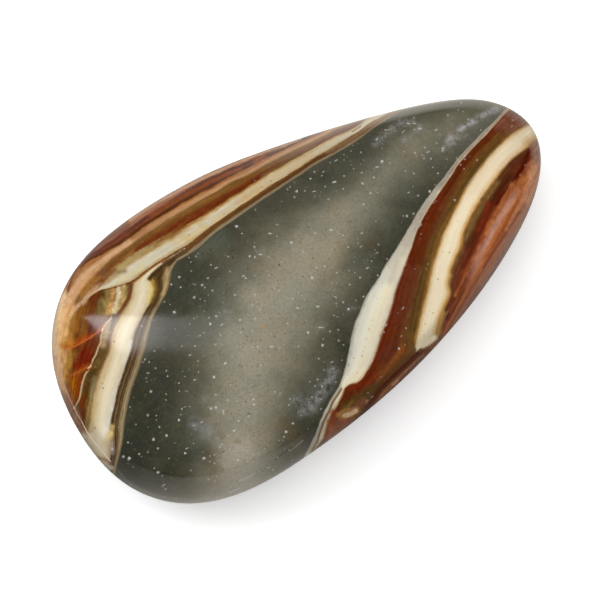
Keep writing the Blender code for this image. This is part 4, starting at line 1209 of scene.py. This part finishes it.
gloss = step_of(noise(place, 500.0, 3.0, 0.5), 0.3, 0.7, 0.07, 0.11, "LINEAR")
put(bsdf.inputs["Roughness"], gloss)
bsdf.inputs["IOR"].default_value = 1.54
bump = nt.nodes.new("ShaderNodeBump")
bump.inputs["Strength"].default_value = 0.05
bump.inputs["Distance"].default_value = 0.0001
put(bump.inputs["Height"], noise(place, 700.0, 2.0, 0.5))
nt.links.new(bump.outputs[0], bsdf.inputs["Normal"])
mesh.materials.append(mat)

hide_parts("polychrome_jasper")
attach(stone, "root")

# ---------------------------------------------------------------------------
# Floor that turns up into a pale wall, and the light
# ---------------------------------------------------------------------------
profile = [(0.0, 0.0), (0.3, 0.0), (0.8, 0.0), (1.6, 0.0)]
profile += [(1.6 + 0.6 * math.sin(k * math.pi / 24), 0.6 - 0.6 * math.cos(k * math.pi / 24)) for k in range(1, 13)]
profile += [(2.2, 1.0), (2.2, 1.4)]
verts, faces = [(0.0, 0.0, 0.0)], []
TURNS = 64
for r, z in profile[1:]:
    verts += [(r * math.cos(2 * math.pi * k / TURNS), r * math.sin(2 * math.pi * k / TURNS), z) for k in range(TURNS)]
faces += [(0, 1 + k, 1 + (k + 1) % TURNS) for k in range(TURNS)]
for ring in range(len(profile) - 2):
    a0, b0 = 1 + ring * TURNS, 1 + (ring + 1) * TURNS
    faces += [(a0 + k, b0 + k, b0 + (k + 1) % TURNS, a0 + (k + 1) % TURNS) for k in range(TURNS)]
floor_mesh = bpy.data.meshes.new("studio_floor")
floor_mesh.from_pydata(verts, [], faces)
for p in floor_mesh.polygons:
    p.use_smooth = True
floor = bpy.data.objects.new("studio_floor", floor_mesh)
scene.collection.objects.link(floor)
paper = bpy.data.materials.new("studio_paper")
paper.use_nodes = True
paper.node_tree.nodes["Principled BSDF"].inputs["Base Color"].default_value = (0.90, 0.90, 0.90, 1.0)
paper.node_tree.nodes["Principled BSDF"].inputs["Roughness"].default_value = 0.95
paper.node_tree.nodes["Principled BSDF"].inputs["Specular IOR Level"].default_value = 0.0
paper.node_tree.nodes["Principled BSDF"].inputs["Emission Color"].default_value = (1.0, 1.0, 1.0, 1.0)
paper.node_tree.nodes["Principled BSDF"].inputs["Emission Strength"].default_value = 0.33
floor_mesh.materials.append(paper)
floor.visible_glossy = False
floor.visible_diffuse = False

# The sheet round the stone that its polish and its underside pick up light from.
sheet_mesh = bpy.data.meshes.new("studio_sheet")
around = 2.0 * math.pi * np.arange(72) / 72
ring = [(0.26 * math.cos(a), 0.26 * math.sin(a), -0.0002) for a in around]
# Its rings, from the middle out: (share of the radius, share of the shade). It fades outwards.
RINGS = ((0.20, 1.0), (0.27, 0.88), (0.36, 0.62), (0.56, 0.32), (1.0, 0.06))
near_ring = [(0.041 * math.cos(a), 0.0235 * math.sin(a), -0.0002) for a in around]
sheet_mesh.from_pydata([(0.0, 0.0, -0.0002)] + near_ring + [(k * x, k * y, z) for k, _ in RINGS for x, y, z in ring], [],
                       [(0, 1 + k, 1 + (k + 1) % 72) for k in range(72)]
                       + [(1 + 72 * j + k, 73 + 72 * j + k, 73 + 72 * j + (k + 1) % 72, 1 + 72 * j + (k + 1) % 72)
                          for j in range(len(RINGS)) for k in range(72)])
# Its shade by bearing in the drawing plane: 0 is the drawing's right, 90 its top.
BEARINGS = (0, 20, 50, 75, 98, 115, 140, 190, 207, 228, 245, 265, 285, 298, 310, 340, 360)
SHADES = (0.56, 0.60, 0.70, 1.00, 0.80, 0.12, 0.06, 0.06, 0.06, 0.30, 0.80, 1.00, 0.70, 0.15, 0.05, 0.22, 0.56)
NEARS = (0.0, 0.0, 0.0, 0.0, 0.0, 0.35, 0.55, 0.5, 0.0, 0.0, 0.0, 0.0, 0.0, 0.0, 0.0, 0.0, 0.0)
LIFTS = (0.0, 0.0, 0.10, 0.36, 0.30, 0.0, 0.0, 0.0, 0.0, 0.0, 0.06, 0.12, 0.05, 0.0, 0.0, 0.0, 0.0)
turned = np.degrees(around) - math.degrees(math.atan2(right[1], right[0]))
shade_at = np.interp(turned % 360.0, BEARINGS, SHADES)
NEAR_SHADE = np.interp(turned % 360.0, BEARINGS, NEARS)
at = sheet_mesh.attributes.new("shade", "FLOAT", "POINT")
at.data.foreach_set("value", np.concatenate([[0.5], np.maximum(shade_at, NEAR_SHADE)] + [shade_at * k for _, k in RINGS]).astype(np.float32))
lift_at = np.interp(turned % 360.0, BEARINGS, LIFTS)
at = sheet_mesh.attributes.new("lift", "FLOAT", "POINT")
at.data.foreach_set("value", np.concatenate([[0.0], lift_at] + [lift_at * k for _, k in RINGS]).astype(np.float32))
sheet = bpy.data.objects.new("studio_sheet", sheet_mesh)
scene.collection.objects.link(sheet)
card = bpy.data.materials.new("studio_card")
card.use_nodes = True
shade_node = card.node_tree.nodes.new("ShaderNodeAttribute")
shade_node.attribute_name = "shade"
warm_card = card.node_tree.nodes.new("ShaderNodeMix")
warm_card.data_type = "RGBA"
warm_card.blend_type = "MULTIPLY"
warm_card.inputs[0].default_value = 1.0
warm_card.inputs[7].default_value = (1.0, 0.955, 0.85, 1.0)
card.node_tree.links.new(shade_node.outputs["Fac"], warm_card.inputs[6])
card.node_tree.links.new(warm_card.outputs[2], card.node_tree.nodes["Principled BSDF"].inputs["Base Color"])
lift_node = card.node_tree.nodes.new("ShaderNodeAttribute")
lift_node.attribute_name = "lift"
card.node_tree.links.new(lift_node.outputs["Fac"], card.node_tree.nodes["Principled BSDF"].inputs["Emission Strength"])
card.node_tree.nodes["Principled BSDF"].inputs["Emission Color"].default_value = (1.0, 0.97, 0.92, 1.0)
card.node_tree.nodes["Principled BSDF"].inputs["Roughness"].default_value = 0.95
card.node_tree.nodes["Principled BSDF"].inputs["Specular IOR Level"].default_value = 0.0
sheet_mesh.materials.append(card)
sheet.visible_camera = False
sheet.visible_shadow = False
sheet.visible_diffuse = False

# The pale sheet that lights the low sides.
bounce_mesh = bpy.data.meshes.new("studio_bounce")
bounce_mesh.from_pydata([(0.0, 0.0, -0.0004)] + [(x, y, -0.0004) for x, y, z in ring], [],
                        [(0, 1 + k, 1 + (k + 1) % 72) for k in range(72)])
bounce = bpy.data.objects.new("studio_bounce", bounce_mesh)
scene.collection.objects.link(bounce)
pale_card = bpy.data.materials.new("studio_bounce_card")
pale_card.use_nodes = True
pale_card.node_tree.nodes["Principled BSDF"].inputs["Base Color"].default_value = (0.85, 0.84, 0.82, 1.0)
pale_card.node_tree.nodes["Principled BSDF"].inputs["Roughness"].default_value = 0.95
pale_card.node_tree.nodes["Principled BSDF"].inputs["Specular IOR Level"].default_value = 0.0
bounce_mesh.materials.append(pale_card)
bounce.visible_camera = False
bounce.visible_glossy = False
bounce.visible_shadow = False

world = bpy.data.worlds.new("studio")
scene.world = world
world.use_nodes = True
world.node_tree.nodes["Background"].inputs["Color"].default_value = (1.0, 1.0, 1.0, 1.0)
world.node_tree.nodes["Background"].inputs["Strength"].default_value = 0.55
world.cycles_visibility.glossy = False


def lamp(name, side, high, away, size, power, glossy=False):
    """Area light: side is its compass bearing from +X in degrees, high its elevation."""
    data = bpy.data.lights.new(name, "AREA")
    data.shape = "DISK"
    data.size = size
    data.energy = power
    ob = bpy.data.objects.new(name, data)
    scene.collection.objects.link(ob)
    s, h = math.radians(side), math.radians(high)
    d = Vector((math.cos(s) * math.cos(h), math.sin(s) * math.cos(h), math.sin(h)))
    ob.location = d * away
    ob.rotation_mode = "QUATERNION"
    ob.rotation_quaternion = (-d).to_track_quat("-Z", "Y")
    ob.visible_camera = False
    ob.visible_glossy = glossy
    return ob


lamp("key", 131.0, 48.0, 1.5, 1.0, 9.2)
lamp("overhead", 0.0, 89.0, 1.6, 1.8, 12.3)

# Panels that the polish mirrors. Each is laid out on the stone and thrown out along the mirrored ray.
seen = facing > 0.02
seen_flat, seen_pts, seen_nrm = flat[seen], pts[seen], normal[seen]


def mirrored(x, y, away, spread=3.0):
    q = ((seen_flat - np.array([x, y])) ** 2).sum(1)
    near = np.argsort(q)[:24]
    w = np.exp(-q[near] / (spread * spread)) + 1e-9
    w /= w.sum()
    p = (seen_pts[near] * w[:, None]).sum(0)
    n = (seen_nrm[near] * w[:, None]).sum(0)
    n /= np.linalg.norm(n)
    v = (p - eye) / np.linalg.norm(p - eye)
    r = v - 2.0 * (v @ n) * n
    return (p + r * away) * 0.001


def panel(name, rows, glow, strength, away=700.0, colour=(1.0, 1.0, 1.0)):
    """rows of drawing-plane points, and a 0-1 glow for each."""
    n = len(rows[0])
    verts = [mirrored(x, y, away) for row in rows for x, y in row]
    faces = [(r * n + k, r * n + k + 1, (r + 1) * n + k + 1, (r + 1) * n + k)
             for r in range(len(rows) - 1) for k in range(n - 1)]
    me = bpy.data.meshes.new(name)
    me.from_pydata([tuple(v) for v in verts], [], faces)
    at = me.attributes.new("glow", "FLOAT", "POINT")
    at.data.foreach_set("value", [g for row in glow for g in row])
    ob = bpy.data.objects.new(name, me)
    scene.collection.objects.link(ob)
    m = bpy.data.materials.new(name)
    m.use_nodes = True
    t = m.node_tree
    t.nodes.clear()
    o = t.nodes.new("ShaderNodeOutputMaterial")
    e = t.nodes.new("ShaderNodeEmission")
    g = t.nodes.new("ShaderNodeAttribute")
    g.attribute_name = "glow"
    k = t.nodes.new("ShaderNodeMath")
    k.operation = "MULTIPLY"
    k.inputs[1].default_value = strength
    t.links.new(g.outputs["Fac"], k.inputs[0])
    t.links.new(k.outputs[0], e.inputs["Strength"])
    e.inputs["Color"].default_value = (*colour, 1.0)
    t.links.new(e.outputs[0], o.inputs[0])
    me.materials.append(m)
    ob.visible_camera = False
    ob.visible_diffuse = False
    ob.visible_shadow = False
    ob.visible_transmission = False
    return ob


xs = [83, 95, 110, 130, 150, 170, 195, 220, 245, 265]
fade = [1.0, 1.6, 1.9, 1.5, 0.82, 0.48, 0.34, 0.22, 0.1, 0.0]
rows, glow = [], []
for y, g in ((316.5, 0.9), (324, 0.95), (332, 0.9), (340, 0.8), (347, 0.6), (354, 0.0)):
    rows.append([(x + max(0.0, (y - 316.5) * (1.25 if y < 328 else 1.0) * max(0.0, (130 - x) / 47.0)), y) for x in xs])
    glow.append([g * f for f in fade])
panel("window", rows, glow, 4.0)


def streak(name, line, half, glow_along, strength, away=700.0, colour=(1.0, 1.0, 1.0)):
    """A bright line that the polish shows along a drawn line, soft across."""
    rows, glow = [[] for _ in range(5)], [[] for _ in range(5)]
    for k, (x, y) in enumerate(line):
        a, b = line[max(k - 1, 0)], line[min(k + 1, len(line) - 1)]
        dx, dy = b[0] - a[0], b[1] - a[1]
        size = math.hypot(dx, dy)
        for r, (o, g) in enumerate(((-1.0, 0.0), (-0.4, 0.8), (0.0, 1.0), (0.4, 0.8), (1.0, 0.0))):
            rows[r].append((x - dy / size * o * half, y + dx / size * o * half))
            glow[r].append(g * glow_along[k])
    return panel(name, rows, glow, strength, away, colour)


streak("side_glow", ((519, 186), (513.3, 196.7), (508.7, 204.7), (503.3, 213), (498.7, 220), (493.3, 229), (489.3, 237),
                     (485.3, 245), (480.7, 253), (477.3, 261), (474.7, 269), (470, 283), (464, 296), (459, 305)),
       4.5, (0.0, 0.6, 1.0, 1.0, 1.0, 1.0, 0.9, 0.9, 0.8, 0.7, 0.6, 0.5, 0.4, 0.0), 2.6)
scene.view_settings.view_transform = "Standard"
scene.view_settings.look = "None"
scene.view_settings.exposure = 0.0
scene.view_settings.gamma = 1.0

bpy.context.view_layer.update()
